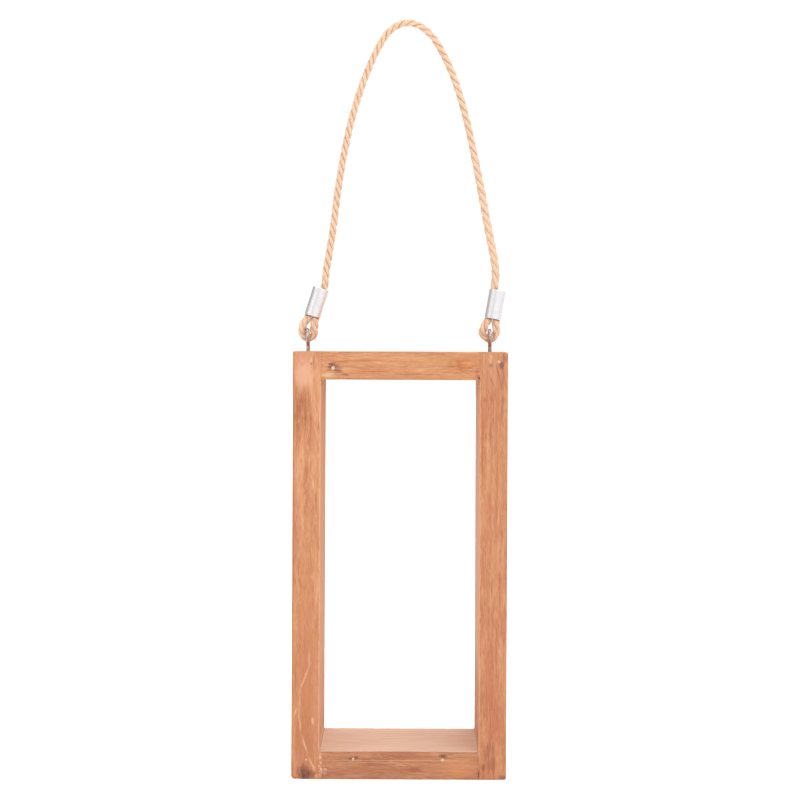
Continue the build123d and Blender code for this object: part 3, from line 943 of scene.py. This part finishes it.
left_tones = tone_set(0.25, (222, 158, 119), (212, 150, 106), (206, 136, 104), (176, 110, 78),
                      (238, 186, 144), (150, 92, 64), (242, 192, 162))
right_tones = tone_set(0.35, (216, 152, 113), (213, 151, 111), (200, 128, 96), (164, 100, 72),
                       (228, 171, 131), (148, 90, 62), (234, 184, 150))
top_tones = tone_set(0.3, (222, 159, 116), (214, 152, 110), (210, 140, 102), (174, 110, 74),
                     (238, 184, 140), (150, 92, 64), (238, 186, 146))
bottom_tones = tone_set(0.3, (200, 139, 106), (204, 146, 110), (184, 120, 92), (150, 96, 72),
                        (220, 164, 128), (140, 86, 62), (216, 160, 124))
side_grain = {"Pith Y": 0.012, "Sway": 0.012, "Curl": 0.0026, "Ring Width": 0.0027}
short_grain = {"Pith Y": -0.014, "Sway": 0.009, "Curl": 0.002, "Ring Width": 0.0031}
recipes = {                    # grain axis, grain values, tones, marks
    "left_side_board": (2, {**side_grain, "Pith X": 0.041, "Slant X": 0.035, "Seed": 1.7},
                        left_tones, left_marks),
    "right_side_board": (2, {**side_grain, "Pith X": -0.052, "Slant X": 0.012, "Sway": 0.007, "Curl": 0.0012,
                             "Seed": 4.1}, right_tones, right_marks),
    "top_board": (0, {**short_grain, "Pith X": -0.036, "Slant X": 0.02, "Seed": 7.3}, top_tones, top_marks),
    "bottom_board": (0, {**short_grain, "Pith X": 0.043, "Slant X": -0.03, "Seed": 9.6},
                     bottom_tones, bottom_marks),
}
for node, (grain_axis, grain, tones, marks) in recipes.items():
    low, high = span(node)
    pale = ((236, 202, 177), 0.95) if node == "bottom_board" else None
    finish = wood_material(f"stained_{node}", (low + high) / 2, grain_axis, grain, tones, marks, pale)
    slot = "side_board_wood" if grain_axis == 2 else "short_board_wood"
    finish_piece(planks[node], "box", finish, slot, node)
print("boards stained:", list(planks))

# %% [markdown]
# ### Filled nail holes
#
# The joints are nailed through the sides and pinned from the front. Each head sits a
# little below the wood under a dab of pale filler, rubbed flat with a finger, so its
# outline is uneven. A dab is a small dome: rings that shrink towards the middle. Down
# the lower left joint, pale glue was squeezed out and left to set in a lumpy line.

# %% Make the dabs of filler
DAB = np.array([               # share of the radius, and height above the wood in mm
    (1.0, -1.0), (1.0, -0.2), (0.98, -0.12), (0.90, -0.08), (0.7, -0.06), (0.4, -0.07), (0.15, -0.08),
])
SMEARS = [                     # X and Z on the front, half width, half height, raggedness
    (-72.8, 311.1, 0.85, 0.95, 0.2), (-66.4, 311.8, 0.85, 2.6, 0.3), (66.9, 311.5, 0.95, 2.6, 0.35),
    (73.1, 310.9, 1.2, 1.5, 0.3), (-49.9, 305.9, 2.0, 1.7, 0.75), (-68.8, 14.7, 0.9, 1.0, 0.3),
    (-33.9, 15.5, 1.2, 1.3, 0.5), (32.6, 14.7, 1.45, 1.2, 0.5),
]


def dab(place, outward, wide, tall, ragged, seed):
    """One dab: a ring of points for each radius share and depth of its outline, made uneven by noise."""
    outward = np.array(outward, float)
    first = np.array([0.0, 0.0, 1.0])
    second = np.cross(outward, first)
    angle = np.linspace(0, 2 * np.pi, 36, endpoint=False)
    direction = tall * np.cos(angle)[:, None] * first + wide * np.sin(angle)[:, None] * second
    round_it = np.column_stack([np.cos(angle), np.sin(angle), np.zeros(36)])
    uneven = 1 + ragged * soft_noise(round_it, 0.75, seed)
    uneven += 0.4 * ragged * soft_noise(round_it, 0.3, seed + 5)
    spread = DAB[:, 0][:, None] * uneven
    level = (DAB[:, 1] * MM)[:, None]
    level = level + 0.03 * MM * soft_noise(round_it[None] * DAB[:, :1, None], 0.5, seed + 1)
    return place + spread[..., None] * direction + level[..., None] * outward


def front_dab(place, seed):
    """The dab for the listed smear that is nearest to a plug on the front."""
    nearest = min(SMEARS, key=lambda s: math.hypot(s[0] * MM - place[0], s[1] * MM - place[2]))
    return dab(place, (0, -1, 0), nearest[2] * MM, nearest[3] * MM, nearest[4], seed)


def side_dabs(node, outward):
    return [dab(place, outward, 1.75 * MM, 1.75 * MM, 0.2, 71 + n) for n, place in enumerate(plugs[node])]


dab_tubes = {
    "front_fillers": [front_dab(place, 61 + n) for n, place in enumerate(plugs["front_fillers"])],
    "left_side_fillers": side_dabs("left_side_fillers", (-1, 0, 0)),
    "right_side_fillers": side_dabs("right_side_fillers", (1, 0, 0)),
}
dabs = {node: skin(node.replace("fillers", "filler_dabs"), tubes) for node, tubes in dab_tubes.items()}

# %% Squeezed-out glue
GLUE_LINE = np.array([         # height, half width and shift across, down the lower left joint
    (21.2, 0.3, 0.5), (18.6, 1.25, 1.1), (15.0, 0.75, 0.6), (12.4, 0.9, 0.7), (9.4, 1.3, 0.6),
    (6.6, 1.5, 1.0), (3.6, 1.2, 0.9), (0.9, 0.5, 0.7),
]) * MM


def make_glue():
    """A flattened bead down a joint, as wide as the listed widths, with crumbs beside it."""
    height = np.linspace(GLUE_LINE[0, 0], GLUE_LINE[-1, 0], 120)
    wide, shift = (np.interp(-height, -GLUE_LINE[:, 0], GLUE_LINE[:, k]) for k in (1, 2))
    line = np.column_stack([-inner_x + shift, np.full(120, box_low[1] + 0.1 * MM), height])
    line[:, 0] += 0.35 * MM * soft_noise(line, 2.4 * MM, 77)
    angle = np.linspace(0, 2 * np.pi, 20, endpoint=False)
    lumps = 1 + 0.55 * soft_noise(line[:, None] + MM * np.cos(angle)[None, :, None], 1.3 * MM, 78)
    ends = np.sin(np.linspace(0.03, np.pi - 0.03, 120)) ** 0.25
    across = (wide * ends)[:, None] * lumps * np.cos(angle)
    proud = (0.34 * MM * ends)[:, None] * lumps * np.sin(angle)
    bead = line[:, None] + across[..., None] * [1, 0, 0] + proud[..., None] * [0, 1, 0]
    crumbs = [(-54.2, 7.6, 1.3, 0.7), (-55.8, 9.8, 0.9, 0.5), (-54.6, 4.0, 0.7, 0.5), (-61.7, 2.6, 0.7, 0.8)]
    spots = [dab(np.array([x * MM, box_low[1] - 0.12 * MM, z * MM]), (0, -1, 0), a * MM, b * MM, 0.6, 90 + n)
             for n, (x, z, a, b) in enumerate(crumbs)]
    return skin("glue_squeeze_out", [bead, *spots])


glue = make_glue()

# %% Colour the filler
filler_finish, tree, surface = new_material("pale_filler", {"Roughness": 0.7, "Specular IOR Level": 0.25})
place = put(tree, "TexCoord").outputs["Object"]
mottle = ramp(tree, cloud(tree, place, 900.0, 3.0), 0.3, 0.7)
tone = blend(tree, mottle, paint(220, 172, 134), paint(238, 202, 170))
out_there = maths(tree, "ABSOLUTE", put(tree, "SeparateXYZ", {0: place}).outputs["X"])
stained = ramp(tree, out_there, inner_x - 1 * MM, inner_x + 3 * MM, 0.0, 0.55)
tree.links.new(blend(tree, stained, tone, paint(226, 166, 128)), surface.inputs["Base Color"])
pits = put(tree, "Bump", {"Height": cloud(tree, place, 2600.0, 2.0), "Strength": 0.4, "Distance": 0.1 * MM})
tree.links.new(pits.outputs[0], surface.inputs["Normal"])
glue_finish, tree, surface = new_material("set_glue", {"Roughness": 0.55, "Specular IOR Level": 0.3})
place = put(tree, "TexCoord").outputs["Object"]
mottle = ramp(tree, cloud(tree, place, 620.0, 3.0), 0.34, 0.66)
tree.links.new(blend(tree, mottle, paint(206, 142, 106), paint(236, 186, 150)), surface.inputs["Base Color"])
lumps = put(tree, "Bump", {"Height": cloud(tree, place, 1400.0, 2.0), "Strength": 0.4, "Distance": 0.1 * MM})
tree.links.new(lumps.outputs[0], surface.inputs["Normal"])
for node, piece in dabs.items():
    finish_piece(piece, "box", filler_finish, "wood_filler", node)
finish_piece(glue, "box", glue_finish, "wood_filler")
print("filler on", list(dabs))

# %% [markdown]
# ## The screw eyes
#
# A screw eye is one length of wire. Its lower end is rolled into a thread, its shank
# comes up out of the board, bends, and goes round into a ring whose end stops just short
# of the shank. So it is one pipe along a line, with a radius that depends on how far
# along it is and, in the thread, on the angle too.

# %% The wire's line
EYE_WIRE = 2.8 * MM
EYE_RING = 5.4 * MM            # from the ring's centre to the middle of the wire
THREAD_LENGTH = 19.0 * MM
THREAD_PITCH = 1.6 * MM
BEND, RING_END = math.radians(22), math.radians(334)
EYE_LEAN = {"left": 0.04, "right": 0.025}       # each eye was screwed in a little crooked


def eye_line():
    """Y and Z from the ring's centre: a straight shank, a bend, and a circle.

    The bend is a quadratic curve from the shank to the point of the circle at the angle
    BEND, and its corner is where that point's tangent meets the shank.
    """
    corner = np.array([0, -EYE_RING / math.cos(BEND)])
    leg = EYE_RING * math.tan(BEND)
    tip = box_high[2] - ring_z - THREAD_LENGTH
    shank = np.column_stack([np.zeros(190), np.linspace(tip, corner[1] - leg, 190)])
    t = np.linspace(0, 1, 14)[1:, None]
    landing = -EYE_RING * np.array([math.sin(BEND), math.cos(BEND)])
    bend = (1 - t) ** 2 * shank[-1] + 2 * t * (1 - t) * corner + t ** 2 * landing
    tip_turns = RING_END + np.array([0.02, 0.035, 0.045, 0.05])
    turn = np.concatenate([np.linspace(BEND, RING_END, 84)[1:], tip_turns])
    ring = -EYE_RING * np.column_stack([np.sin(turn), np.cos(turn)])
    return np.concatenate([shank, bend, ring])


def pipe(line, side, radius):
    """Rings of points round a flat line: line + radius * (cos a * side + sin a * across)."""
    tangent = np.gradient(line, axis=0)
    tangent /= np.linalg.norm(tangent, axis=1, keepdims=True)
    side = np.array(side, float)
    across = np.cross(tangent, side)
    angle = np.linspace(0, 2 * np.pi, radius.shape[1], endpoint=False)
    circle = np.cos(angle)[None, :, None] * side + np.sin(angle)[None, :, None] * across[:, None]
    return line[:, None] + radius[..., None] * circle


print("points along an eye:", len(eye_line()))

# %% Thread and sweep the wire
def make_eye(side, seed):
    """The wire's pipe: a helical ridge on a thinner core in the wood, and plain wire above it."""
    flat = eye_line()
    height = ring_z + flat[:, 1] - box_high[2]
    leaning = eye_x[side] - EYE_LEAN[side] * np.maximum(height, 0)
    line = np.column_stack([leaning, flat[:, 0], height + box_high[2]])
    around = 24
    angle = np.linspace(0, 1, around, endpoint=False)
    turns = np.mod(angle[None] - (height / THREAD_PITCH)[:, None], 1)
    ridge = np.exp(-((turns - 0.5) / 0.17) ** 2)
    point = smoothstep(-THREAD_LENGTH - 0.2 * MM, -THREAD_LENGTH + 3 * MM, height)[:, None]
    threaded = (1.1 + 0.48 * ridge) * MM * (0.12 + 0.88 * point)
    plain = EYE_WIRE / 2 * (1 + 0.02 * soft_noise(line[:, None] + 0 * ridge[..., None], 3 * MM, seed))
    share = smoothstep(-2.2 * MM, -0.6 * MM, height)[:, None]
    share[line[:, 2] > ring_z - EYE_RING] = 1
    radius = threaded * (1 - share) + plain * share
    radius[-5:] *= np.array([0.985, 0.93, 0.82, 0.62, 0.3])[:, None]
    return skin(f"{side}_eye", [pipe(line, (1, 0, 0), radius)], (EYE_WIRE * math.pi, 0.06))


eyes = {side: make_eye(side, 71 + number) for number, side in enumerate(("left", "right"))}

# %% Darken the steel
steel, tree, surface = new_material("tarnished_steel")
place = put(tree, "TexCoord").outputs["Object"]
patch = ramp(tree, cloud(tree, place, 420.0, 4.0, 0.6), 0.36, 0.68)
speck = ramp(tree, cloud(tree, place, 1900.0, 3.0, 0.6), 0.55, 0.72)
metal = blend(tree, patch, paint(212, 196, 190), paint(172, 148, 142))
metal = blend(tree, maths(tree, "MULTIPLY", speck, 0.5), metal, paint(132, 94, 74))
tree.links.new(metal, surface.inputs["Base Color"])
tree.links.new(maths(tree, "SUBTRACT", 0.9, maths(tree, "MULTIPLY", speck, 0.6)), surface.inputs["Metallic"])
tree.links.new(ramp(tree, patch, 0.0, 1.0, 0.34, 0.5), surface.inputs["Roughness"])
pits = put(tree, "Bump", {"Height": cloud(tree, place, 2400.0, 3.0), "Strength": 0.3, "Distance": 0.06 * MM})
tree.links.new(pits.outputs[0], surface.inputs["Normal"])
for side, piece in eyes.items():
    finish_piece(piece, "box", steel, "screw_eye_steel", f"{side}_screw_eye")
print("eyes finished:", list(eyes))

# %% Steel on the hidden nails and brads
bright, tree, surface = new_material("drawn_steel", {"Metallic": 0.95})
place = put(tree, "TexCoord").outputs["Object"]
drawn = cloud(tree, place, 1500.0, 3.0)
tree.links.new(blend(tree, drawn, paint(188, 186, 184), paint(150, 144, 138)), surface.inputs["Base Color"])
tree.links.new(ramp(tree, drawn, 0.3, 0.7, 0.28, 0.5), surface.inputs["Roughness"])
scratches = put(tree, "Bump", {"Height": drawn, "Strength": 0.2, "Distance": 0.05 * MM})
tree.links.new(scratches.outputs[0], surface.inputs["Normal"])
pins = [name for name in frame["nodes"] if name.endswith(("nails", "brads", "brad"))]
for name in pins:
    mesh = frame["nodes"][name].data
    mesh.materials.clear()
    mesh.materials.append(bright)
print("steel on", len(pins), "groups of nails and brads")

# %% [markdown]
# ## The ferrules
#
# A ferrule is a short aluminium tube pressed round both legs of the loop. The press has
# left it oval, a little narrower at its waist than at its mouths, with soft dents. Its
# skin is a closed one: an oval carried up the outside, over the rim, down the bore and
# round again.

# %% Ferrule surface
HALF_WIDTH, HALF_DEPTH, WALL, ROUNDNESS = 6.25 * MM, 4.9 * MM, 0.75 * MM, 2.04


def ferrule_outline(around):
    """Unit oval |x|^n + |y|^n = 1, as two columns, with even steps of its own angle."""
    angle = np.linspace(0, 2 * np.pi, around, endpoint=False)
    shape = np.column_stack([np.cos(angle), np.sin(angle)])
    return np.sign(shape) * np.abs(shape) ** (2 / ROUNDNESS)


def ferrule_profile():
    """Inset from the outer face, and height along the tube, once round the wall."""
    rim = np.linspace(0, np.pi, 9)
    round_over = WALL / 2
    top = np.column_stack([round_over * (1 - np.cos(rim)), FERRULE_LENGTH - round_over * (1 - np.sin(rim))])
    outer = np.column_stack([np.zeros(38), np.linspace(round_over, FERRULE_LENGTH - round_over, 40)[1:-1]])
    inner = np.column_stack([np.full(14, WALL),
                             np.linspace(FERRULE_LENGTH - round_over, round_over, 16)[1:-1]])
    bottom = np.column_stack([round_over * (1 + np.cos(rim)), round_over * (1 - np.sin(rim))])
    return np.concatenate([outer, top, inner, bottom])


def make_ferrule(side, seed):
    """An oval tube on the leaning axes of its half of the rope, with a waist and dents."""
    foot, lean = ferrules[side]["foot"], ferrules[side]["lean"]
    up = np.array([math.sin(lean), 0, math.cos(lean)])
    right = np.array([math.cos(lean), 0, -math.sin(lean)])
    start = np.array([eye_x[side] + foot[0], 0, ring_z + foot[1]])
    inset, along = ferrule_profile().T
    oval = ferrule_outline(88)
    waist = 0.16 * MM * (2 * along / FERRULE_LENGTH - 1) ** 2 - 0.08 * MM
    half_width = (HALF_WIDTH - inset + waist)[:, None] * oval[:, 0]
    half_depth = (HALF_DEPTH - inset + waist)[:, None] * oval[:, 1]
    middle = start + along[:, None, None] * up
    points = middle + half_width[..., None] * right + half_depth[..., None] * [0, 1, 0]
    outward = points - middle
    outward /= np.linalg.norm(outward, axis=-1, keepdims=True)
    dents = 0.06 * MM * soft_noise(points, 6.0 * MM, seed)
    dents += 0.012 * MM * soft_noise(points, 2.2 * MM, seed + 1)
    return skin(f"{side}_crimp_tube", [points + dents[..., None] * outward], (0.033, 0.048), closed=True)


crimps = {side: make_ferrule(side, 81 + number) for number, side in enumerate(("left", "right"))}

# %% Brush the aluminium
aluminium, tree, surface = new_material("brushed_aluminium", {"Metallic": 0.86})
uv = put(tree, "UVMap").outputs[0]
place = put(tree, "TexCoord").outputs["Object"]
brushed = cloud(tree, stretch(tree, uv, (2400.0, 60.0, 1.0)), 1.0, 3.0, 0.6)
smudge = cloud(tree, place, 260.0, 3.0)
tone = blend(tree, brushed, paint(245, 244, 247), paint(233, 231, 233))
tone = blend(tree, ramp(tree, smudge, 0.45, 0.75, 0.0, 0.4), tone, paint(224, 217, 216))
tree.links.new(tone, surface.inputs["Base Color"])
matt = maths(tree, "MULTIPLY", maths(tree, "ADD", brushed, smudge), 0.5)
tree.links.new(ramp(tree, matt, 0.3, 0.7, 0.3, 0.4), surface.inputs["Roughness"])
lines = put(tree, "Bump", {"Height": brushed, "Strength": 0.1, "Distance": 0.01 * MM})
tree.links.new(lines.outputs[0], surface.inputs["Normal"])
for side, piece in crimps.items():
    finish_piece(piece, "handle", aluminium, "ferrule_aluminium", f"{side}_ferrule")
print("ferrules finished:", list(crimps))

# %% [markdown]
# ## The rope
#
# Three strands are laid round each other like a spiral staircase. The middle of each
# strand is a helix about the rope's line, and its section is an oval, pressed flat
# where the strands meet. Each strand is itself twisted the other way from yarns, so the
# yarns run nearly straight along the rope. Inside a ferrule everything is squeezed.

# %% The strands' surface
LAYS = 20.2 * MM, 24.4 * MM     # length of one full turn of a strand, at the rope's left and right
LOOSENS = 0.26, 0.42           # where, along the rope, it goes from the first to the second
SWELLS = 0.40, 0.47            # where the looser right end swells
STRAND_OUT = 1.38 * MM         # from the rope's line to a strand's middle
STRAND_DEEP, STRAND_WIDE = 1.42 * MM, 1.56 * MM
YARN_LAY = 14.0 * MM
YARNS = 7


def in_a_ferrule(points):
    """1 for points inside either ferrule and 0 outside, with a short slope between."""
    share = np.zeros(points.shape[:-1])
    for side, crimp in ferrules.items():
        away = points - np.array([eye_x[side] + crimp["foot"][0], 0, ring_z + crimp["foot"][1]])
        along = away[..., 0] * math.sin(crimp["lean"]) + away[..., 2] * math.cos(crimp["lean"])
        across = away[..., 0] * math.cos(crimp["lean"]) - away[..., 2] * math.sin(crimp["lean"])
        inside = smoothstep(-1.2 * MM, 0.6 * MM, along)
        inside = inside * smoothstep(1.2 * MM, -0.6 * MM, along - FERRULE_LENGTH)
        share = np.maximum(share, inside * (np.abs(across) < 8 * MM))
    return share


def rope_axes(line):
    """Unit vectors at each point of the rope's flat line: along it, to the back, and across."""
    along = np.gradient(line, axis=0)
    along /= np.linalg.norm(along, axis=1, keepdims=True)
    back = np.tile([0.0, 1.0, 0.0], (len(line), 1))
    return along, back, np.cross(along, back)


def strand(line, number, around=32):
    """One strand: its middle is line + out * (cos p * back + sin p * across), p falling with length.

    p falls by a full turn in each lay, so it is the running sum of length over lay. The
    section is an oval on the axes away from and round the rope, whose first point faces
    the rope's middle, and low ridges on it are the yarns. It also gives how far out each
    point is, and a painted shade band where the strand enters a ferrule's lower mouth.
    """
    length = rope_length * np.linspace(0, 1, len(line))
    _, back, across = rope_axes(line)
    wander = 0.3 * soft_noise(line, 34 * MM, 90) + 0.1 * soft_noise(line, 11 * MM, 91 + number)
    lay = LAYS[0] + (LAYS[1] - LAYS[0]) * smoothstep(*LOOSENS, length)
    turns = np.cumsum(np.gradient(length) / lay)
    phase = 2 * np.pi * (number / 3 - turns) + wander
    out = np.cos(phase)[:, None] * back + np.sin(phase)[:, None] * across
    round_it = -np.sin(phase)[:, None] * back + np.cos(phase)[:, None] * across
    squeeze = 1 - 0.07 * in_a_ferrule(line)
    fat = 1.01 + 0.05 * soft_noise(line, 9 * MM, 94 + number)
    above_ring = line[:, 2] - ring_z
    in_loop = smoothstep(0.5 * MM, 4.5 * MM, above_ring) * smoothstep(16.5 * MM, 13.0 * MM, above_ring)
    swell = smoothstep(*SWELLS, length) * smoothstep(rope_length - 62 * MM, rope_length - 75 * MM, length)
    loose = 1 + 0.13 * swell + 0.14 * in_loop
    angle = np.linspace(0, 2 * np.pi, around, endpoint=False)
    yarn = YARNS * (angle[None] + (2 * np.pi * length / YARN_LAY)[:, None])
    ridge = 1 + 0.035 * np.sqrt(np.abs(np.sin(yarn / 2))) - 0.02
    deep = -(STRAND_DEEP * squeeze * fat * loose)[:, None] * ridge * np.cos(angle)
    wide = (STRAND_WIDE * squeeze * fat * loose)[:, None] * ridge * np.sin(angle)
    middle = line + (STRAND_OUT * squeeze * loose)[:, None] * out
    points = middle[:, None] + deep[..., None] * out[:, None] + wide[..., None] * round_it[:, None]
    inside = in_a_ferrule(points)
    # Painted shade: a dark band on the rope just at a ferrule's lower mouth.
    shaded = 4 * inside * (1 - inside) * smoothstep(24 * MM, 20 * MM, points[..., 2] - ring_z)
    return points, np.linalg.norm(points - line[:, None], axis=-1) / (STRAND_OUT + STRAND_DEEP), shaded


strand_line = evenly(rope_line, 1001)[0]
surfaces, fullness, mouth = zip(*(strand(strand_line, number) for number in range(3)))
rope_girth = 2 * math.pi * STRAND_DEEP
rope = skin("rope", list(surfaces), (rope_girth, rope_length),
            {"fullness": list(fullness), "mouth": list(mouth)})

# %% Loose fibres
def make_fuzz(count):
    """Fine curved hairs that start on the rope and lean away from it, each a thin three-sided tube."""
    random = np.random.default_rng(7)
    spot = random.integers(12, len(strand_line) - 12, count)
    keep = in_a_ferrule(strand_line[spot]) < 0.01
    spot = spot[keep]
    count = len(spot)
    along, back, across = (axis[spot] for axis in rope_axes(strand_line))
    angle = random.uniform(0, 2 * np.pi, count)[:, None]
    out = np.cos(angle) * back + np.sin(angle) * across
    round_it = -np.sin(angle) * back + np.cos(angle) * across
    length = random.uniform(1.6, 5.5, count)[:, None, None] * MM
    way = np.where(random.random(count) < 0.5, 1.0, -1.0)[:, None]
    turn = random.normal(0, 0.5, count)[:, None]
    forward = way * along * np.cos(turn) + round_it * np.sin(turn)
    lift = random.uniform(0.05, 0.42, count)[:, None, None]
    curl = random.normal(0, 0.35, count)[:, None, None]
    t = np.linspace(0, 1, 5)[None, :, None]
    start = strand_line[spot] + out * 2.45 * MM
    middle = start[:, None] + length * (
        t * forward[:, None] + lift * t ** 1.4 * out[:, None] + curl * t ** 2 * round_it[:, None])
    thick = (random.uniform(0.045, 0.08, count)[:, None, None] * MM) * (1 - 0.75 * t)
    corner = np.linspace(0, 2 * np.pi, 3, endpoint=False)
    ring = np.cos(corner)[:, None] * out[:, None, None] + np.sin(corner)[:, None] * round_it[:, None, None]
    hairs = middle[:, :, None] + thick[..., None] * ring
    return skin("rope_fuzz", list(hairs), (0.1 * MM, 4 * MM))


fuzz = make_fuzz(1500)

# %% [markdown]
# ### Plant fibre
#
# The fibre is straw coloured and dull, with a faint sheen. Its pattern has to follow
# each strand, so it is read from the UV map: u runs round the strand, v runs along it,
# and adding a share of v to u turns the fibres onto the yarns' own slant. The stored
# fullness is near one on the strands' backs and low in the creases between them, and
# where it is low the colour is darkened as painted shade.

# %% Colour the rope
def fibre_material(name, light, dark, crease_shade):
    material, tree, surface = new_material(name, {
        "Roughness": 0.82, "Specular IOR Level": 0.2, "Sheen Weight": 0.12, "Sheen Roughness": 0.5})
    uv = put(tree, "SeparateXYZ", {0: put(tree, "UVMap").outputs[0]}).outputs
    slant = maths(tree, "ADD", uv["X"], maths(tree, "MULTIPLY", uv["Y"], rope_girth / YARN_LAY))
    laid = put(tree, "CombineXYZ", {0: slant, 1: uv["Y"]}).outputs[0]
    fine = cloud(tree, stretch(tree, laid, (9000.0, 260.0, 1.0)), 1.0, 3.0, 0.6)
    coarse = cloud(tree, stretch(tree, laid, (2600.0, 110.0, 1.0)), 1.0, 3.0, 0.55)
    patch = cloud(tree, put(tree, "TexCoord").outputs["Object"], 75.0, 3.0)
    colour = blend(tree, ramp(tree, coarse, 0.34, 0.66), dark, light)
    colour = blend(tree, ramp(tree, fine, 0.36, 0.52, 0.35, 0.0), colour, dark)
    colour = blend(tree, ramp(tree, patch, 0.5, 0.72, 0.0, 0.3), colour, dark)
    full = put(tree, "Attribute", attribute_name="fullness").outputs["Fac"]
    # Painted shade: darker in the creases between the strands, where fullness is low.
    colour = blend(tree, ramp(tree, full, 0.56, 0.92, 0.9, 0.0), colour, crease_shade)
    # Painted shade from the mouth field: darker where the rope goes into a ferrule's lower mouth.
    mouth = put(tree, "Attribute", attribute_name="mouth").outputs["Fac"]
    colour = blend(tree, maths(tree, "MULTIPLY", mouth, 0.8), colour, paint(128, 82, 56))
    tree.links.new(colour, surface.inputs["Base Color"])
    height = maths(tree, "ADD", maths(tree, "MULTIPLY", fine, 0.5), coarse)
    relief = put(tree, "Bump", {"Height": height, "Strength": 0.45, "Distance": 0.14 * MM})
    tree.links.new(relief.outputs[0], surface.inputs["Normal"])
    return material


straw = fibre_material("plant_fibre", paint(250, 224, 200), paint(232, 192, 158), paint(212, 162, 124))
hair, tree, surface = new_material("loose_fibre", {"Roughness": 0.8, "Specular IOR Level": 0.2})
tone = cloud(tree, put(tree, "TexCoord").outputs["Object"], 160.0, 2.0)
tree.links.new(blend(tree, tone, paint(250, 226, 198), paint(226, 184, 140)), surface.inputs["Base Color"])
finish_piece(rope, "handle", straw, "rope_fibre", "rope_handle")
finish_piece(fuzz, "handle", hair, "rope_fibre")
print("rope and fuzz finished")

# %% [markdown]
# ## The studio
#
# The lantern stands on a white floor that runs up into a white background, in wide soft
# light. The room that lights it and shows in its metal is darker to the left, so that
# round things have a shaded side and the metal shows edges.

# %% Floor, background and lights
def make_stage():
    floor = bpy.data.meshes.new("floor")
    half = 12.0
    corners = [(-half, -half, 0), (half, -half, 0), (half, half, 0), (-half, half, 0)]
    floor.from_pydata(corners, [], [(0, 1, 2, 3)])
    ground = bpy.data.objects.new("floor", floor)
    bpy.context.scene.collection.objects.link(ground)
    material, tree, surface = new_material("white_floor", {
        "Base Color": paint(250, 250, 249), "Roughness": 0.9, "Specular IOR Level": 0.0,
        "Emission Color": (1, 1, 1, 1)})
    seen = put(tree, "LightPath").outputs["Is Camera Ray"]
    tree.links.new(maths(tree, "MULTIPLY", seen, 0.62), surface.inputs["Emission Strength"])
    ground.data.materials.append(material)
    return ground


def make_world():
    """White behind the lantern; for light and mirroring, a room that is darker to the left."""
    world = bpy.data.worlds.new("white_room")
    bpy.context.scene.world = world
    world.use_nodes = True
    tree = world.node_tree
    tree.nodes.clear()
    seen = put(tree, "LightPath").outputs["Is Camera Ray"]
    mirrored = put(tree, "LightPath").outputs["Is Glossy Ray"]
    direction = put(tree, "SeparateXYZ", {0: put(tree, "TexCoord").outputs["Generated"]}).outputs
    lit = ramp(tree, direction["X"], -0.95, 0.75, 0.6, 1.02)
    shown = maths(tree, "MULTIPLY", ramp(tree, direction["X"], -0.9, 0.45, 0.42, 1.15),
                  ramp(tree, direction["X"], 0.45, 1.0, 1.0, 0.84))
    shade = put(tree, "Mix", {0: mirrored, 2: lit, 3: shown}).outputs[0]
    room = put(tree, "Background", {"Color": (1, 1, 1, 1), "Strength": shade}).outputs[0]
    back = put(tree, "Background", {"Color": (1, 1, 1, 1), "Strength": 1.05}).outputs[0]
    mixed = put(tree, "MixShader", {0: seen, 1: room, 2: back}).outputs[0]
    tree.links.new(mixed, put(tree, "OutputWorld").inputs["Surface"])
    return world


def soft_light(name, place, target, size, power):
    """A square area light that looks at the target."""
    data = bpy.data.lights.new(name, "AREA")
    data.size, data.energy = size, power
    light = bpy.data.objects.new(name, data)
    light.location = place
    light.rotation_euler = (Vector(target) - Vector(place)).to_track_quat("-Z", "Y").to_euler()
    bpy.context.scene.collection.objects.link(light)
    return light


make_stage()
make_world()
soft_light("key", (0.9, -1.6, 1.5), (0, 0, 0.25), 1.3, 6)
soft_light("fill", (-1.3, -1.2, 1.0), (0, 0, 0.25), 1.3, 4)
soft_light("top", (0.0, 0.2, 1.9), (0, 0, 0.2), 1.4, 13)
bpy.context.scene.view_settings.view_transform = "Standard"
print("stage ready")
